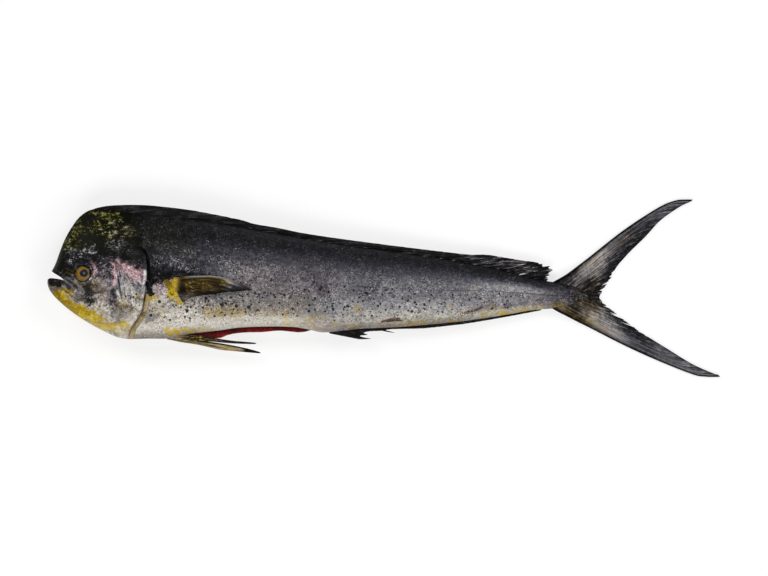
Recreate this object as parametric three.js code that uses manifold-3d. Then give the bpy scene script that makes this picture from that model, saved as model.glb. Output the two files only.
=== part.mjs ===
// A whole raw dolphinfish (mahi-mahi), a gutted bull, lying on its right side on a flat surface.
//
// Millimetres, +Z up. The fish is built head first: `along` is the distance behind the chin and `up` the
// height above the fish's long axis, towards its back. The two lie in the surface that the fish rests on,
// and Z is its thickness. The last lines move the origin to the middle of the outline, on that surface.
import * as THREE from "three";
import { mergeVertices } from "three/addons/utils/BufferGeometryUtils.js";
import Module from "manifold-3d";

const wasm = await Module();
wasm.setup();

// ---- Driving dimensions --------------------------------------------------------------------------------

const LENGTH = 1000; // chin to the tip of the lower tail lobe
const TAIL_SPREAD = 268.2; // across the tail, from tip to tip
const THICKNESS = 84; // through the shoulders, flank to flank
const SETTLE = 0.95; // share of its half thickness at which the limp flank lies on the surface
const CREST_RADIUS = 5; // roundness of the back and belly edges
const ROWS = 16; // facets over one flank, belly to back

// Outline of the body without fins, as [along, up].
const BACK = [
  [0, 12], [2.5, 20], [6.4, 26], [12, 37], [16, 48.2], [24.7, 70.6], [34, 87.8], [48, 106.4], [63, 116],
  [80, 119.4], [107, 116.6], [152, 110.2], [241, 98.6], [333, 82], [434, 65], [526, 52.3], [617, 38],
  [686, 24], [720, 14.6], [749, 9.6], [775, 6], [795, -3], [803, -10],
];
const BELLY = [
  [0, 6], [1.3, 1.4], [4.2, -4.6], [21.3, -23], [48.3, -43.6], [84.3, -64], [107, -73.4], [123, -75.4],
  [152, -74.8], [170, -75], [190, -72.6], [211, -68], [226, -66.2], [258, -62.4], [280, -59.2],
  [308, -57.5], [342, -57], [363, -57.8], [389, -61.8], [409, -65.6], [441, -62.8], [462, -60.4], [516, -58],
  [568, -53.9], [617, -49], [686, -38.6], [720, -32.6], [749, -30.2], [775, -27], [795, -19.5], [803, -14],
];
// The lower flap of the opened belly reaches this far past the upper one.
const FLAP = [
  [205, 0], [225, 7], [245, 10.4], [257, 11.2], [267, 8.8], [290, 7.8], [315, 8.2], [344, 6.2],
  [368, 7.2], [380, 5], [391, 0],
];
// Half thickness at the widest level, as a share of THICKNESS / 2.
const GIRTH = [
  [0, 0.08], [4, 0.21], [12, 0.36], [25, 0.49], [53, 0.67], [80, 0.8], [110, 0.91], [148, 0.98],
  [196, 1], [286, 0.95], [375, 0.83], [464, 0.69], [553, 0.56], [642, 0.42], [702, 0.33], [749, 0.27],
  [775, 0.2], [795, 0.11], [803, 0.05],
];
// How sharply the flanks close towards the back: high over the forehead crest, low at the tail.
const BACK_SHARPNESS = [[0, 1.3], [40, 2], [140, 1.9], [260, 1.35], [480, 1.15], [803, 1]];
const BELLY_SHARPNESS = 1.1;
// The trunk rests on its flank, and ahead of this the stiff head stays level with it.
const HEAD_LEVEL_END = 148;
const TAIL_LEVEL = 2.4; // height of the middle of the tail, which lies on the surface

// The gill cover stands proud by `cover`, and the slot behind it is cut in by `slot`, up to `top`.
const GILL = { cover: 3.2, blend: 26, slot: 3.4, slotWidth: 7, top: 58, fade: 12 };
const CHEEK_BONE = { height: 1.5, reach: 5, top: 48, bottom: -40, fade: 13 };
const EYE = { along: 53.2, up: 22.2, radius: 10.9, bulge: 7.4, sunk: 3.6, play: 0.35 };

// ---- Curves --------------------------------------------------------------------------------------------

const clamp01 = (t) => Math.min(1, Math.max(0, t));
const smooth = (t) => clamp01(t) ** 2 * (3 - 2 * clamp01(t));
const mix = (a, b, t) => a + (b - a) * t;
const bump = (distance, reach) => Math.exp(-((distance / reach) ** 2));

// A smooth line through [x, y] points that never overshoots them (a monotone cubic).
function curve(points) {
  const slopes = points.slice(1).map(([x, y], i) => (y - points[i][1]) / (x - points[i][0]));
  const tangents = points.map((_, i) => {
    const [before, after] = [slopes[Math.max(0, i - 1)], slopes[Math.min(slopes.length - 1, i)]];
    return before * after <= 0 ? 0 : (2 * before * after) / (before + after);
  });
  return (x) => {
    const last = points.length - 2;
    const i = Math.min(last, Math.max(0, points.findIndex(([px]) => px > x) - 1));
    const at = x >= points[last + 1][0] ? last : i;
    const [[x0, y0], [x1, y1]] = [points[at], points[at + 1]];
    const [span, t] = [x1 - x0, clamp01((x - x0) / (x1 - x0))];
    return (
      y0 * (1 + 2 * t) * (1 - t) ** 2 +
      y1 * (3 - 2 * t) * t ** 2 +
      span * (tangents[at] * t * (1 - t) ** 2 - tangents[at + 1] * (1 - t) * t ** 2)
    );
  };
}

// The same for an edge that may turn back on itself, from 0 to 1 along its length.
function edge(points) {
  const spline = new THREE.SplineCurve(points.map(([x, y]) => new THREE.Vector2(x, y)));
  return (t) => spline.getPointAt(clamp01(t));
}

// ---- The body's form -----------------------------------------------------------------------------------

const back = curve(BACK);
const belly = curve(BELLY);
const flap = curve(FLAP);
const girthShare = curve(GIRTH);
const girth = (along) => (girthShare(along) * THICKNESS) / 2;
const backSharpness = curve(BACK_SHARPNESS);
const widestLevel = curve([[0, 0.5], [60, 0.42], [200, 0.45], [803, 0.5]]);
const tailDroop = curve([[749, 0], [806, 0.9], [880, 1]]);

function middle(along) {
  const trunk = SETTLE * girth(Math.max(along, HEAD_LEVEL_END));
  return mix(trunk, TAIL_LEVEL, tailDroop(along));
}

// Rear edge of the gill cover, and of the cheek bone ahead of it: how far behind the chin they lie at
// each height. The cover's edge curls forward at its top.
const gillEdge = curve([
  [-76, 117], [-54, 128], [-37, 139], [-23, 143], [-4, 146], [20, 148.5], [37, 148], [48, 146], [58, 141],
]);
const cheekBoneEdge = curve([[-35, 115], [-13, 108], [5, 101.5], [26, 101], [45, 95]]);

// Height of the bones and folds of the head over the plain form.
function headRelief(along, up) {
  const behind = along - gillEdge(up);
  const below = smooth((GILL.top - up) / GILL.fade + 0.5);
  const cover = behind < 0 ? GILL.cover * smooth(1 + behind / GILL.blend) : 0;
  const slot = behind > 0 ? -GILL.slot * (1 - smooth(behind / GILL.slotWidth)) : 0;
  const { height, reach, top, bottom, fade } = CHEEK_BONE;
  const ends = smooth((top - up) / fade) * smooth((up - bottom) / fade);
  const cheek = height * bump(along - cheekBoneEdge(up), reach) * ends;
  return below * (cover + slot) + cheek;
}

// Half the body's thickness over a point of one flank whose belly edge is at `low`.
function halfThickness(along, up, low) {
  const level = clamp01((up - low) / (back(along) - low));
  const widest = widestLevel(along);
  const share = level < widest ? level / widest : (1 - level) / (1 - widest);
  const roundness = Math.sqrt(Math.max(0, 1 - (1 - share) ** 2));
  const power = level < widest ? BELLY_SHARPNESS : backSharpness(along);
  const crest = Math.min(CREST_RADIUS, girth(along)) * roundness;
  const plain = Math.hypot(girth(along) * roundness ** power, crest);
  return plain + headRelief(along, up) * smooth(roundness * 2.2);
}

const bellyOf = { left: belly, right: (along) => belly(along) - flap(along) };
const flank = (along, up) => middle(along) + halfThickness(along, up, belly(along));

// ---- Solids --------------------------------------------------------------------------------------------

// A closed skin over cross-sections, each with its upper points and, in the same order, its lower ones.
function skin(sections) {
  const rows = sections[0].upper.length;
  const position = sections.flatMap(({ upper, lower }) => [...upper, ...lower]).flat();
  const at = (section, side, row) => (section * 2 + side) * rows + row;
  const index = [];
  const quad = (a, b, c, d) => index.push(a, b, c, a, c, d);
  for (let s = 0; s + 1 < sections.length; s++) {
    for (let r = 0; r + 1 < rows; r++) {
      quad(at(s, 0, r), at(s + 1, 0, r), at(s + 1, 0, r + 1), at(s, 0, r + 1));
      quad(at(s, 1, r), at(s, 1, r + 1), at(s + 1, 1, r + 1), at(s + 1, 1, r));
    }
    quad(at(s, 1, 0), at(s + 1, 1, 0), at(s + 1, 0, 0), at(s, 0, 0));
    quad(at(s, 0, rows - 1), at(s + 1, 0, rows - 1), at(s + 1, 1, rows - 1), at(s, 1, rows - 1));
  }
  for (let r = 0; r + 1 < rows; r++) {
    const end = sections.length - 1;
    quad(at(0, 0, r), at(0, 0, r + 1), at(0, 1, r + 1), at(0, 1, r));
    quad(at(end, 0, r), at(end, 1, r), at(end, 1, r + 1), at(end, 0, r + 1));
  }
  const geometry = new THREE.BufferGeometry();
  geometry.setAttribute("position", new THREE.Float32BufferAttribute(position, 3));
  geometry.setIndex(index);
  return solid(geometry);
}

// A manifold solid from a closed geometry, turned to face outwards.
function solid(geometry) {
  const bare = new THREE.BufferGeometry();
  bare.setAttribute("position", geometry.getAttribute("position"));
  bare.setIndex(geometry.index);
  const merged = mergeVertices(bare, 1e-4);
  const corners = [...merged.index.array];
  const kept = [];
  for (let i = 0; i < corners.length; i += 3) {
    const [a, b, c] = corners.slice(i, i + 3);
    if (a !== b && b !== c && a !== c) kept.push(a, b, c);
  }
  const build = (triangles) =>
    new wasm.Manifold(
      new wasm.Mesh({
        numProp: 3,
        vertProperties: merged.attributes.position.array,
        triVerts: new Uint32Array(triangles),
      }),
    );
  const made = build(kept);
  return made.volume() < 0 ? build(kept.reverse()) : made;
}

function box(low, high) {
  const size = high.map((value, i) => value - low[i]);
  const geometry = new THREE.BoxGeometry(...size);
  geometry.translate(...low.map((value, i) => value + size[i] / 2));
  return solid(geometry);
}

function mesh(name, made, material) {
  const { vertProperties, triVerts } = made.getMesh();
  const geometry = new THREE.BufferGeometry();
  geometry.setAttribute("position", new THREE.BufferAttribute(vertProperties, 3));
  geometry.setIndex(new THREE.BufferAttribute(triVerts, 1));
  geometry.computeVertexNormals();
  const shown = new THREE.Mesh(geometry, material);
  shown.name = name;
  return shown;
}

// ---- Body ----------------------------------------------------------------------------------------------

// Distances of the cross-sections behind the chin: close over the head, wider along the trunk and tail.
function stations() {
  const steps = [[12, 3], [66, 5.4], [112, 6.6], [166, 5.4], [400, 18], [760, 26], [803, 9]];
  const found = [0];
  for (const [end, step] of steps) {
    const from = found.at(-1);
    const count = Math.max(1, Math.round((end - from) / step));
    for (let i = 1; i <= count; i++) found.push(from + ((end - from) * i) / count);
  }
  return found;
}

// Sections near the gill cover lean with its edge, so that the step there stays crisp.
function leaning(station, level) {
  const up = mix(belly(station), back(station), level);
  const [atTop, reach] = [gillEdge(GILL.top), 34];
  const lean = (gillEdge(Math.min(up, GILL.top)) - atTop) * bump(station - atTop, reach);
  return clamp01((station + lean) / BACK.at(-1)[0]) * BACK.at(-1)[0];
}

function bodySolid() {
  const flankPoints = (station, side) =>
    Array.from({ length: ROWS + 1 }, (_, row) => {
      const level = (1 - Math.cos((Math.PI * row) / ROWS)) / 2;
      const along = leaning(station, level);
      const low = bellyOf[side](along);
      const up = mix(low, back(along), level);
      const half = halfThickness(along, up, low);
      return [along, up, middle(along) + (side === "left" ? half : -half)];
    });
  return skin(
    stations().map((station) => ({
      upper: flankPoints(station, "left"),
      lower: flankPoints(station, "right"),
    })),
  );
}

// The open mouth: a wedge between the lips, and behind it a hollow that the cheeks close off.
const LIPS = {
  upper: [[-4, 32], [6.4, 25.1], [12.2, 21.3], [19.5, 17], [27, 10.6]],
  lower: [[-4, 12], [0.9, 13.4], [4.2, 15.1], [14, 14], [21.3, 12.5], [27, 10.2]],
};
const MOUTH_HOLLOW = { half: [26, 6.5, 11], turn: -0.5, centre: [26, 11.5] };

function mouthCut() {
  const [upperLip, lowerLip] = [curve(LIPS.upper), curve(LIPS.lower)];
  const [front, corner] = [LIPS.upper[0][0], LIPS.upper.at(-1)[0]];
  const STEPS = 8;
  const wedge = Array.from({ length: STEPS + 1 }, (_, i) => {
    const along = mix(front, corner, i / STEPS);
    const across = [[along, lowerLip(along)], [along, upperLip(along)]];
    return {
      upper: across.map((point) => [...point, THICKNESS + 6]),
      lower: across.map((point) => [...point, -10]),
    };
  });
  const hollow = new THREE.SphereGeometry(1, 10, 6).scale(...MOUTH_HOLLOW.half).rotateZ(MOUTH_HOLLOW.turn);
  return skin(wedge).add(solid(hollow.translate(...MOUTH_HOLLOW.centre, middle(0))));
}

// The pocket along the cut belly, between the two flaps, and the lining that lies in it: from `deep`
// inside to the edge, or past it where there is no inset. Heights are from the fish's middle plane.
const POCKET = { deep: 20, low: -1, high: 2.2, inset: 0 };
const LINING = { deep: 17, low: -0.7, high: 0.7, inset: 2 };

function bellyPocket({ deep, low, high, inset }) {
  const END_GAP = 3;
  const [start, end] = [FLAP[0][0] + END_GAP + inset, FLAP.at(-1)[0] - END_GAP - inset];
  const STEPS = 24;
  return skin(
    Array.from({ length: STEPS + 1 }, (_, i) => {
      const along = mix(start, end, i / STEPS);
      const reach = deep * Math.sin((Math.PI * i) / STEPS) ** 0.6 + 1;
      const outer = inset ? bellyOf.right(along) + inset * 0.6 : bellyOf.right(along) - 6;
      const levels = [outer, mix(outer, belly(along) + reach, 0.5), belly(along) + reach];
      return {
        upper: levels.map((up) => [along, up, middle(along) + high]),
        lower: levels.map((up) => [along, up, middle(along) + low]),
      };
    }),
  );
}

// ---- Eyes ----------------------------------------------------------------------------------------------

// An eyeball as a flattened ball set square to the cheek. `side` is 1 on the left flank, -1 on the right.
function eyeball(side, play) {
  const STEP = 6;
  const height = (along, up) => halfThickness(along, up, belly(along)) - headRelief(along, up);
  const slopeAlong = (height(EYE.along + STEP, EYE.up) - height(EYE.along - STEP, EYE.up)) / (2 * STEP);
  const slopeUp = (height(EYE.along, EYE.up + STEP) - height(EYE.along, EYE.up - STEP)) / (2 * STEP);
  const outward = new THREE.Vector3(-slopeAlong, -slopeUp, 1).normalize();
  const ball = new THREE.SphereGeometry(1, 16, 10).rotateX(Math.PI / 2);
  ball.scale(EYE.radius + play, EYE.radius + play, EYE.bulge + play);
  ball.applyQuaternion(new THREE.Quaternion().setFromUnitVectors(new THREE.Vector3(0, 0, 1), outward));
  const centre = outward.clone().multiplyScalar(-EYE.sunk);
  ball.translate(EYE.along + centre.x, EYE.up + centre.y, height(EYE.along, EYE.up) + centre.z);
  if (side < 0) ball.scale(1, 1, -1);
  return solid(ball.translate(0, 0, middle(EYE.along)));
}

// ---- Fins ----------------------------------------------------------------------------------------------

// A fin is a thin plate on rays. ray(across, out) gives a point of the ray at `across` (0 to 1, front to
// rear) and `out` (0 to 1, root to tip); level(along, up, out) is the height of its middle. The membrane
// between two rays is thinner by `web`, and stops short of their tips by `notch`.
function fin({ rays, steps, ray, level, root, tip, web = 0.62, notch = () => 0 }) {
  const columns = Array.from({ length: 2 * rays + 1 }, (_, column) => {
    const across = column / (2 * rays);
    const onRay = column % 2 === 0;
    const points = { upper: [], lower: [] };
    for (let i = 0; i <= steps; i++) {
      const out = (i / steps) * (onRay ? 1 : 1 - notch(across));
      const half = mix(root, tip, out) * (onRay ? 1 : web);
      const { x, y } = ray(across, out);
      const z = level(x, y, out);
      points.upper.push([x, y, z + half]);
      points.lower.push([x, y, z - half]);
    }
    return points;
  });
  return skin(columns);
}

// Rays of a fan: the first follows the leading edge to the tip, and the others end along the trailing
// edge, which starts there. The bow of the leading edge fades towards the last ray.
function fan({ base, tip, lead, trail }) {
  const [leading, trailing] = [edge([...lead, tip]), edge([tip, ...trail])];
  const [start, end] = [leading(0), leading(1)];
  return (across, out) => {
    const from = new THREE.Vector2(mix(start.x, base[0], across), mix(start.y, base[1], across));
    const bow = leading(out).sub(start.clone().lerp(end, out));
    return from.lerp(trailing(across), out).addScaledVector(bow, (1 - across) ** 2);
  };
}

// Rays folded back along a ridge: each leans from its place on `ridge` to its place on the outer edge.
// `place` sets where the rays stand close together.
function folded({ from, to, ridge, outer, lean, place }) {
  const rim = edge(outer);
  return (across, out) => {
    const share = place(across);
    const along = mix(from, to, share);
    const tip = rim(share + lean * smooth(share / 0.1) * Math.sqrt(1 - share));
    return new THREE.Vector2(along, ridge(along)).lerp(tip, out);
  };
}

const UPPER_LOBE = {
  base: [786, -19],
  tip: [959.5, 132.6],
  lead: [
    [748, 8], [758, 13.5], [771, 21], [788, 33.8], [806, 47.8], [857, 87.9], [908, 121.2], [933, 131.5],
    [949, TAIL_SPREAD / 2],
  ],
  trail: [
    [955, 128.2], [940.5, 120.5], [910.5, 102.5], [886.6, 77.4], [862.8, 53.6], [845, 31.3],
    [834, 11], [821.5, -3], [819, -18],
  ],
};
const LOWER_LOBE = {
  base: [786, -9],
  tip: [LENGTH, -132.4],
  lead: [
    [748, -29], [757, -34.6], [771, -41.6], [788, -50.4], [806, -59.2], [857, -85.2], [908, -108.3],
    [959, -128.8], [978, -133.2], [991, -TAIL_SPREAD / 2],
  ],
  trail: [
    [987.5, -126.4], [957.8, -112.4], [922.2, -91.5], [883.5, -66.3], [859.8, -48.4], [829, -26],
    [818, -14.5],
  ],
};

function tailLobe(lobe) {
  return fin({
    rays: 8,
    steps: 8,
    ray: fan(lobe),
    level: (along) => Math.max(middle(along), 1.3),
    root: 4.4,
    tip: 0.7,
    notch: (across) => 0.02 + 0.16 * smooth((across - 0.6) / 0.3),
  });
}

const DORSAL_EDGE = [
  [70, 118.5], [80, 120.9], [94, 122.9], [123.5, 124], [154.8, 122.9], [186, 119.6], [226, 113.9],
  [287, 101.7], [308, 95.6], [346, 89], [378, 82.4], [434, 73.8], [526, 61.9], [586, 54.7], [626, 50.4],
  [652, 50], [677, 46.6], [702, 43], [727, 41.4], [732, 37], [751, 31], [745, 22], [740, 13.6],
];
const ANAL_EDGE = [
  [419, -68.4], [437, -71.4], [458.6, -75], [481, -74.6], [473, -70.6], [477, -66], [499, -63.8],
  [516, -63.4], [531, -61.6], [552, -60], [568, -58.9], [617, -53.4], [651, -48], [685, -42], [733, -33],
];

function dorsalFin() {
  const ridge = (along) => back(along) - 3;
  const place = (across) => 1 - (1 - across) ** 1.5;
  const shape = { from: 68, to: 738, ridge, outer: DORSAL_EDGE, lean: 0.07, place };
  return fin({
    rays: 24,
    steps: 2,
    ray: folded(shape),
    level: (along, up, out) => middle(along) - out,
    root: 2.4,
    tip: 0.8,
    notch: (across) => 0.03 + 0.2 * smooth((across - 0.78) / 0.06),
  });
}

function analFin() {
  const ridge = (along) => belly(along) + 3;
  const place = (across) => across ** 1.33;
  const shape = { from: 414, to: 731, ridge, outer: ANAL_EDGE, lean: 0.1, place };
  return fin({
    rays: 18,
    steps: 2,
    ray: folded(shape),
    level: (along, up, out) => middle(along) - out,
    root: 2,
    tip: 0.7,
    notch: (across) => 0.05 + 0.22 * smooth((0.3 - across) / 0.08),
  });
}

const PECTORAL = {
  centre: [238, 0],
  base: [199, -17],
  tip: [305, -3.2],
  lead: [[172, 9], [186, 14.5], [203, 17.3], [235, 18.7], [257, 17], [275, 12.1], [293, 4.1]],
  trail: [[286, -3.4], [258, -6], [233, -9.8], [214, -14], [202, -21.6]],
};
// The left fin lies along the flank with its tip a little clear.
const LAID = {
  level: (along, up, out) => flank(along, up) + mix(-2.5, 2, smooth(out / 0.3)) + 2 * out, // root sunk
  root: 1.8,
  tip: 0.9,
};
// The right one is pressed flat under the fish, in a shallow hollow of the flank.
const PRESSED = { level: () => 1.6, root: 1.6, tip: 1.4 };
const PRESSED_HOLLOW = { level: () => -2, root: 3.2, tip: 3, web: 1, rays: 3, steps: 5, grow: 1.08 };

function pectoralFin({ grow = 1, ...shape }) {
  const ray = fan(PECTORAL);
  const centre = new THREE.Vector2(...PECTORAL.centre);
  const placed = (across, out) => ray(across, out).sub(centre).multiplyScalar(grow).add(centre);
  return fin({ rays: 7, steps: 7, ray: placed, notch: () => 0.03, ...shape });
}

// `heights` are the middle of a pelvic fin above the surface, at its root and at its tip.
const PELVIC_LEFT = {
  heights: [43.2, 39],
  base: [178, -74],
  tip: [310, -82],
  lead: [[174, -67.5], [206, -68.8], [236, -71.6], [257, -75.2], [275, -77.8], [305, -80.4]],
  trail: [[305, -82.8], [275, -81.9], [244, -79.4], [205, -76.5]],
};
const PELVIC_RIGHT = {
  heights: [37, 17],
  base: [178, -76],
  tip: [316.5, -96.4],
  lead: [[174, -72], [215, -76.5], [257, -81.8], [291, -88.4], [311, -93.6]],
  trail: [[311, -96.6], [282, -94], [254, -91.2], [225, -84.4], [196, -79.8], [184, -76.6]],
};

function pelvicFin(shape) {
  const [start, length] = [shape.lead[0][0], 140];
  return fin({
    rays: 3,
    steps: 7,
    ray: fan(shape),
    level: (along) => mix(...shape.heights, (along - start) / length),
    root: 1.6,
    tip: 0.8,
  });
}

// ---- The fish ------------------------------------------------------------------------------------------

function fishSolid() {
  const MARGIN = 50;
  const below = box([-MARGIN, -TAIL_SPREAD, -THICKNESS], [LENGTH + MARGIN, TAIL_SPREAD, 0]);
  const cuts = [
    below,
    mouthCut(),
    bellyPocket(POCKET),
    eyeball(1, EYE.play),
    eyeball(-1, EYE.play),
    pectoralFin(PRESSED_HOLLOW),
  ];
  const fins = [
    tailLobe(UPPER_LOBE),
    tailLobe(LOWER_LOBE),
    dorsalFin(),
    analFin(),
    pectoralFin(LAID),
    pectoralFin(PRESSED),
    pelvicFin(PELVIC_LEFT),
    pelvicFin(PELVIC_RIGHT),
  ];
  const body = cuts.reduce((made, cut) => made.subtract(cut), bodySolid());
  return fins.reduce((made, part) => made.add(part), body).subtract(below);
}

const skinMaterial = new THREE.MeshStandardMaterial({ color: 0x66666c, roughness: 0.35, metalness: 0 });
const eyeMaterial = new THREE.MeshStandardMaterial({ color: 0x8a6a14, roughness: 0.1, metalness: 0 });
const fleshMaterial = new THREE.MeshStandardMaterial({ color: 0x7a1b1c, roughness: 0.3, metalness: 0 });

const fish = new THREE.Group();
fish.add(mesh("fish", fishSolid(), skinMaterial));
fish.add(mesh("eye_left", eyeball(1, 0), eyeMaterial));
fish.add(mesh("eye_right", eyeball(-1, 0), eyeMaterial));
fish.add(mesh("belly_lining", bellyPocket(LINING), fleshMaterial));
fish.position.x = -LENGTH / 2;

export default fish;
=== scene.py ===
"""The looks of a whole raw dolphinfish, built round its CAD solids.

Shapes are worked out in millimetres in the part's own terms: `along` is the distance behind the chin, `up`
the height above the fish's long axis, towards its back, and z the height above the surface it lies on.
placed() turns them into metres in the shared frame.
"""

import math

import bmesh
import bpy
import numpy as np
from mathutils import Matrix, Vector


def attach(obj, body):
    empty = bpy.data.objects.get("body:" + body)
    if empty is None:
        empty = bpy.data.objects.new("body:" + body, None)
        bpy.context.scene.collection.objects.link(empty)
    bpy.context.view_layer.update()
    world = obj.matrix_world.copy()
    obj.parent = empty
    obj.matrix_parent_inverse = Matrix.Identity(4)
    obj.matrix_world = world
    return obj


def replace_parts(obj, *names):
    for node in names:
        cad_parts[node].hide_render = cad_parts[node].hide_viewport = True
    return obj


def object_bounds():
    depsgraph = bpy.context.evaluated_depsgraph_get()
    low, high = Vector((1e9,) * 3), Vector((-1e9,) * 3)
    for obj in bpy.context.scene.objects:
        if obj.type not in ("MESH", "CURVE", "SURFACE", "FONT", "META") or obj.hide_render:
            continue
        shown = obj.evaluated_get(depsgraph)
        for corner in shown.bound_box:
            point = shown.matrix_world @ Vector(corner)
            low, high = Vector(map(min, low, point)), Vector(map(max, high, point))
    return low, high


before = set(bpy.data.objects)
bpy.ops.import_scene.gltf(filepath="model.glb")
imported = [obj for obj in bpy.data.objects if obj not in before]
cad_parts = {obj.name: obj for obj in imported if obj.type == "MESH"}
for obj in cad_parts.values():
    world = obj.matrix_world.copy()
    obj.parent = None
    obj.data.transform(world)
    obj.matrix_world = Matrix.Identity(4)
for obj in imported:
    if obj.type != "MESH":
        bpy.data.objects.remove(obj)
cad_box = [list(corner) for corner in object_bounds()]

MM = 0.001
LENGTH = 1000
THICKNESS = 84
# The body's middle plane lies at this share of its half thickness, because the flank below settles flat.
SETTLE = 0.95
CREST_RADIUS = 5
TAIL_LEVEL = 2.4

# Outline of the body without fins, as (along, up), the depth of the flap that hangs from the opened belly on
# the right side, and the body's girth as a share of THICKNESS.
BACK = [
    (0, 12), (2.5, 20), (6.4, 26), (12, 37), (16, 48.2), (24.7, 70.6), (34, 87.8), (48, 106.4), (63, 116),
    (80, 119.4), (107, 116.6), (152, 110.2), (241, 98.6), (333, 82), (434, 65), (526, 52.3), (617, 38),
    (686, 24), (720, 14.6), (749, 9.6), (775, 6), (795, -3), (803, -10),
]
BELLY = [
    (0, 6), (1.3, 1.4), (4.2, -4.6), (21.3, -23), (48.3, -43.6), (84.3, -64), (107, -73.4), (123, -75.4),
    (152, -74.8), (170, -75), (190, -72.6), (211, -68), (226, -66.2), (258, -62.4), (280, -59.2),
    (308, -57.5), (342, -57), (363, -57.8), (389, -61.8), (409, -65.6), (441, -62.8), (462, -60.4),
    (516, -58), (568, -53.9), (617, -49), (686, -38.6), (720, -32.6), (749, -30.2), (775, -27),
    (795, -19.5), (803, -14),
]
FLAP = [
    (205, 0), (225, 7), (245, 10.4), (257, 11.2), (267, 8.8), (290, 7.8), (315, 8.2), (344, 6.2),
    (368, 7.2), (380, 5), (391, 0),
]
GIRTH = [
    (0, 0.08), (4, 0.21), (12, 0.36), (25, 0.49), (53, 0.67), (80, 0.8), (110, 0.91), (148, 0.98),
    (196, 1), (286, 0.95), (375, 0.83), (464, 0.69), (553, 0.56), (642, 0.42), (702, 0.33), (749, 0.27),
    (775, 0.2), (795, 0.11), (803, 0.05),
]
BODY_END = BACK[-1][0]
HEAD_LEVEL_END = 148
GILL = {"cover": 3.2, "blend": 26, "slot": 3.4, "slot_width": 7, "top": 58, "fade": 12, "station": 141}
CHEEK_BONE = {"height": 1.5, "reach": 5, "top": 48, "bottom": -40, "fade": 13}
EYE = {"along": 53.2, "up": 22.2, "radius": 10.9, "bulge": 7.4, "sunk": 3.6, "play": 0.35}


# ---- Curves --------------------------------------------------------------------------------------------


def clamp01(t):
    return np.clip(t, 0, 1)


def smooth(t):
    return clamp01(t) ** 2 * (3 - 2 * clamp01(t))


def rise(x, start, reach):
    """0 up to `start`, and 1 from `reach` after it on."""
    return smooth((x - start) / reach)


def fall(x, end, reach):
    """1 up to `reach` before `end`, and 0 from `end` on."""
    return smooth((end - x) / reach)


def mix(a, b, t):
    return a + (b - a) * t


def bump(distance, reach):
    return np.exp(-((distance / reach) ** 2))


def curve(points):
    """A smooth line through (x, y) points that never overshoots them (a monotone cubic)."""
    xs, ys = np.array(points, float).T
    slopes = np.diff(ys) / np.diff(xs)
    before = np.concatenate([slopes[:1], slopes])
    after = np.concatenate([slopes, slopes[-1:]])
    turning = before * after <= 0
    tangents = np.where(turning, 0, 2 * before * after / np.where(turning, 1, before + after))

    def at(x):
        x = np.asarray(x, float)
        i = np.clip(np.searchsorted(xs, x, side="right") - 1, 0, len(xs) - 2)
        span = xs[i + 1] - xs[i]
        t = clamp01((x - xs[i]) / span)
        ends = ys[i] * (1 + 2 * t) * (1 - t) ** 2 + ys[i + 1] * (3 - 2 * t) * t**2
        return ends + span * (tangents[i] * t * (1 - t) ** 2 - tangents[i + 1] * (1 - t) * t**2)

    return at


def edge(points, per_segment=24):
    """A smooth line that may turn back on itself. It returns a function of 0 to 1 along its length."""
    p = np.array(points, float)
    p = np.concatenate([p[:1], p, p[-1:]])
    t = np.linspace(0, 1, per_segment, endpoint=False)[:, None]
    pieces = []
    for a, b, c, d in zip(p, p[1:], p[2:], p[3:]):
        start, end = (c - a) / 2, (d - b) / 2
        cubic = (2 * b - 2 * c + start + end) * t**3 + (-3 * b + 3 * c - 2 * start - end) * t**2
        pieces.append(cubic + start * t + b)
    line = np.concatenate([*pieces, p[-1:]])
    run = np.concatenate([[0], np.cumsum(np.linalg.norm(np.diff(line, axis=0), axis=1))])
    run /= run[-1]
    return lambda share: np.stack([np.interp(share, run, line[:, i]) for i in (0, 1)], axis=-1)


def gap_to(along, up, points):
    """Distance of each place from a smooth line through the points, in millimetres."""
    line = edge(points)(np.linspace(0, 1, 6 * len(points)))
    best = np.full(np.shape(along), 1e9)
    for (ax, ay), (bx, by) in zip(line, line[1:]):
        dx, dy = bx - ax, by - ay
        t = clamp01(((along - ax) * dx + (up - ay) * dy) / (dx * dx + dy * dy))
        best = np.minimum(best, np.hypot(along - ax - t * dx, up - ay - t * dy))
    return best


# ---- The body's form -----------------------------------------------------------------------------------

back = curve(BACK)
belly = curve(BELLY)
flap = curve(FLAP)
girth_share = curve(GIRTH)
back_sharpness = curve([(0, 1.3), (40, 2), (140, 1.9), (260, 1.35), (480, 1.15), (803, 1)])
widest_level = curve([(0, 0.5), (60, 0.42), (200, 0.45), (803, 0.5)])
tail_droop = curve([(749, 0), (806, 0.9), (880, 1)])
gill_edge = curve([
    (-76, 117), (-54, 128), (-37, 139), (-23, 143), (-4, 146), (20, 148.5), (37, 148), (48, 146),
    (GILL["top"], GILL["station"]),
])
cheek_bone_edge = curve([(-35, 115), (-13, 108), (5, 101.5), (26, 101), (45, 95)])


def girth(along):
    return girth_share(along) * THICKNESS / 2


def middle(along):
    trunk = SETTLE * girth(np.maximum(along, HEAD_LEVEL_END))
    return mix(trunk, TAIL_LEVEL, tail_droop(along))


MAXILLA = [(20, 14.5), (32, 8), (45, 1), (57, -8)]
JAW_LINE = [(8, 7), (20, 1), (34, -9), (48, -17), (62, -22)]
CHEEK_LINE = [(65, -29), (80, -35.5), (99, -32), (112.5, -20.7)]
THROAT_LINE = [(68, -50), (86, -51.8), (103, -51.5), (124, -47.7)]
BRANCHIAL_BAND = [(150, -9), (147.8, -22), (145, -35), (137, -48), (129, -59), (124.5, -71)]
UNDER_EYE = [(65, 41), (72.5, 30), (71, 18), (62, 6)]
CHEEK_GROOVE = [(105, 30), (108.6, 10), (112, -16)]
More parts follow.
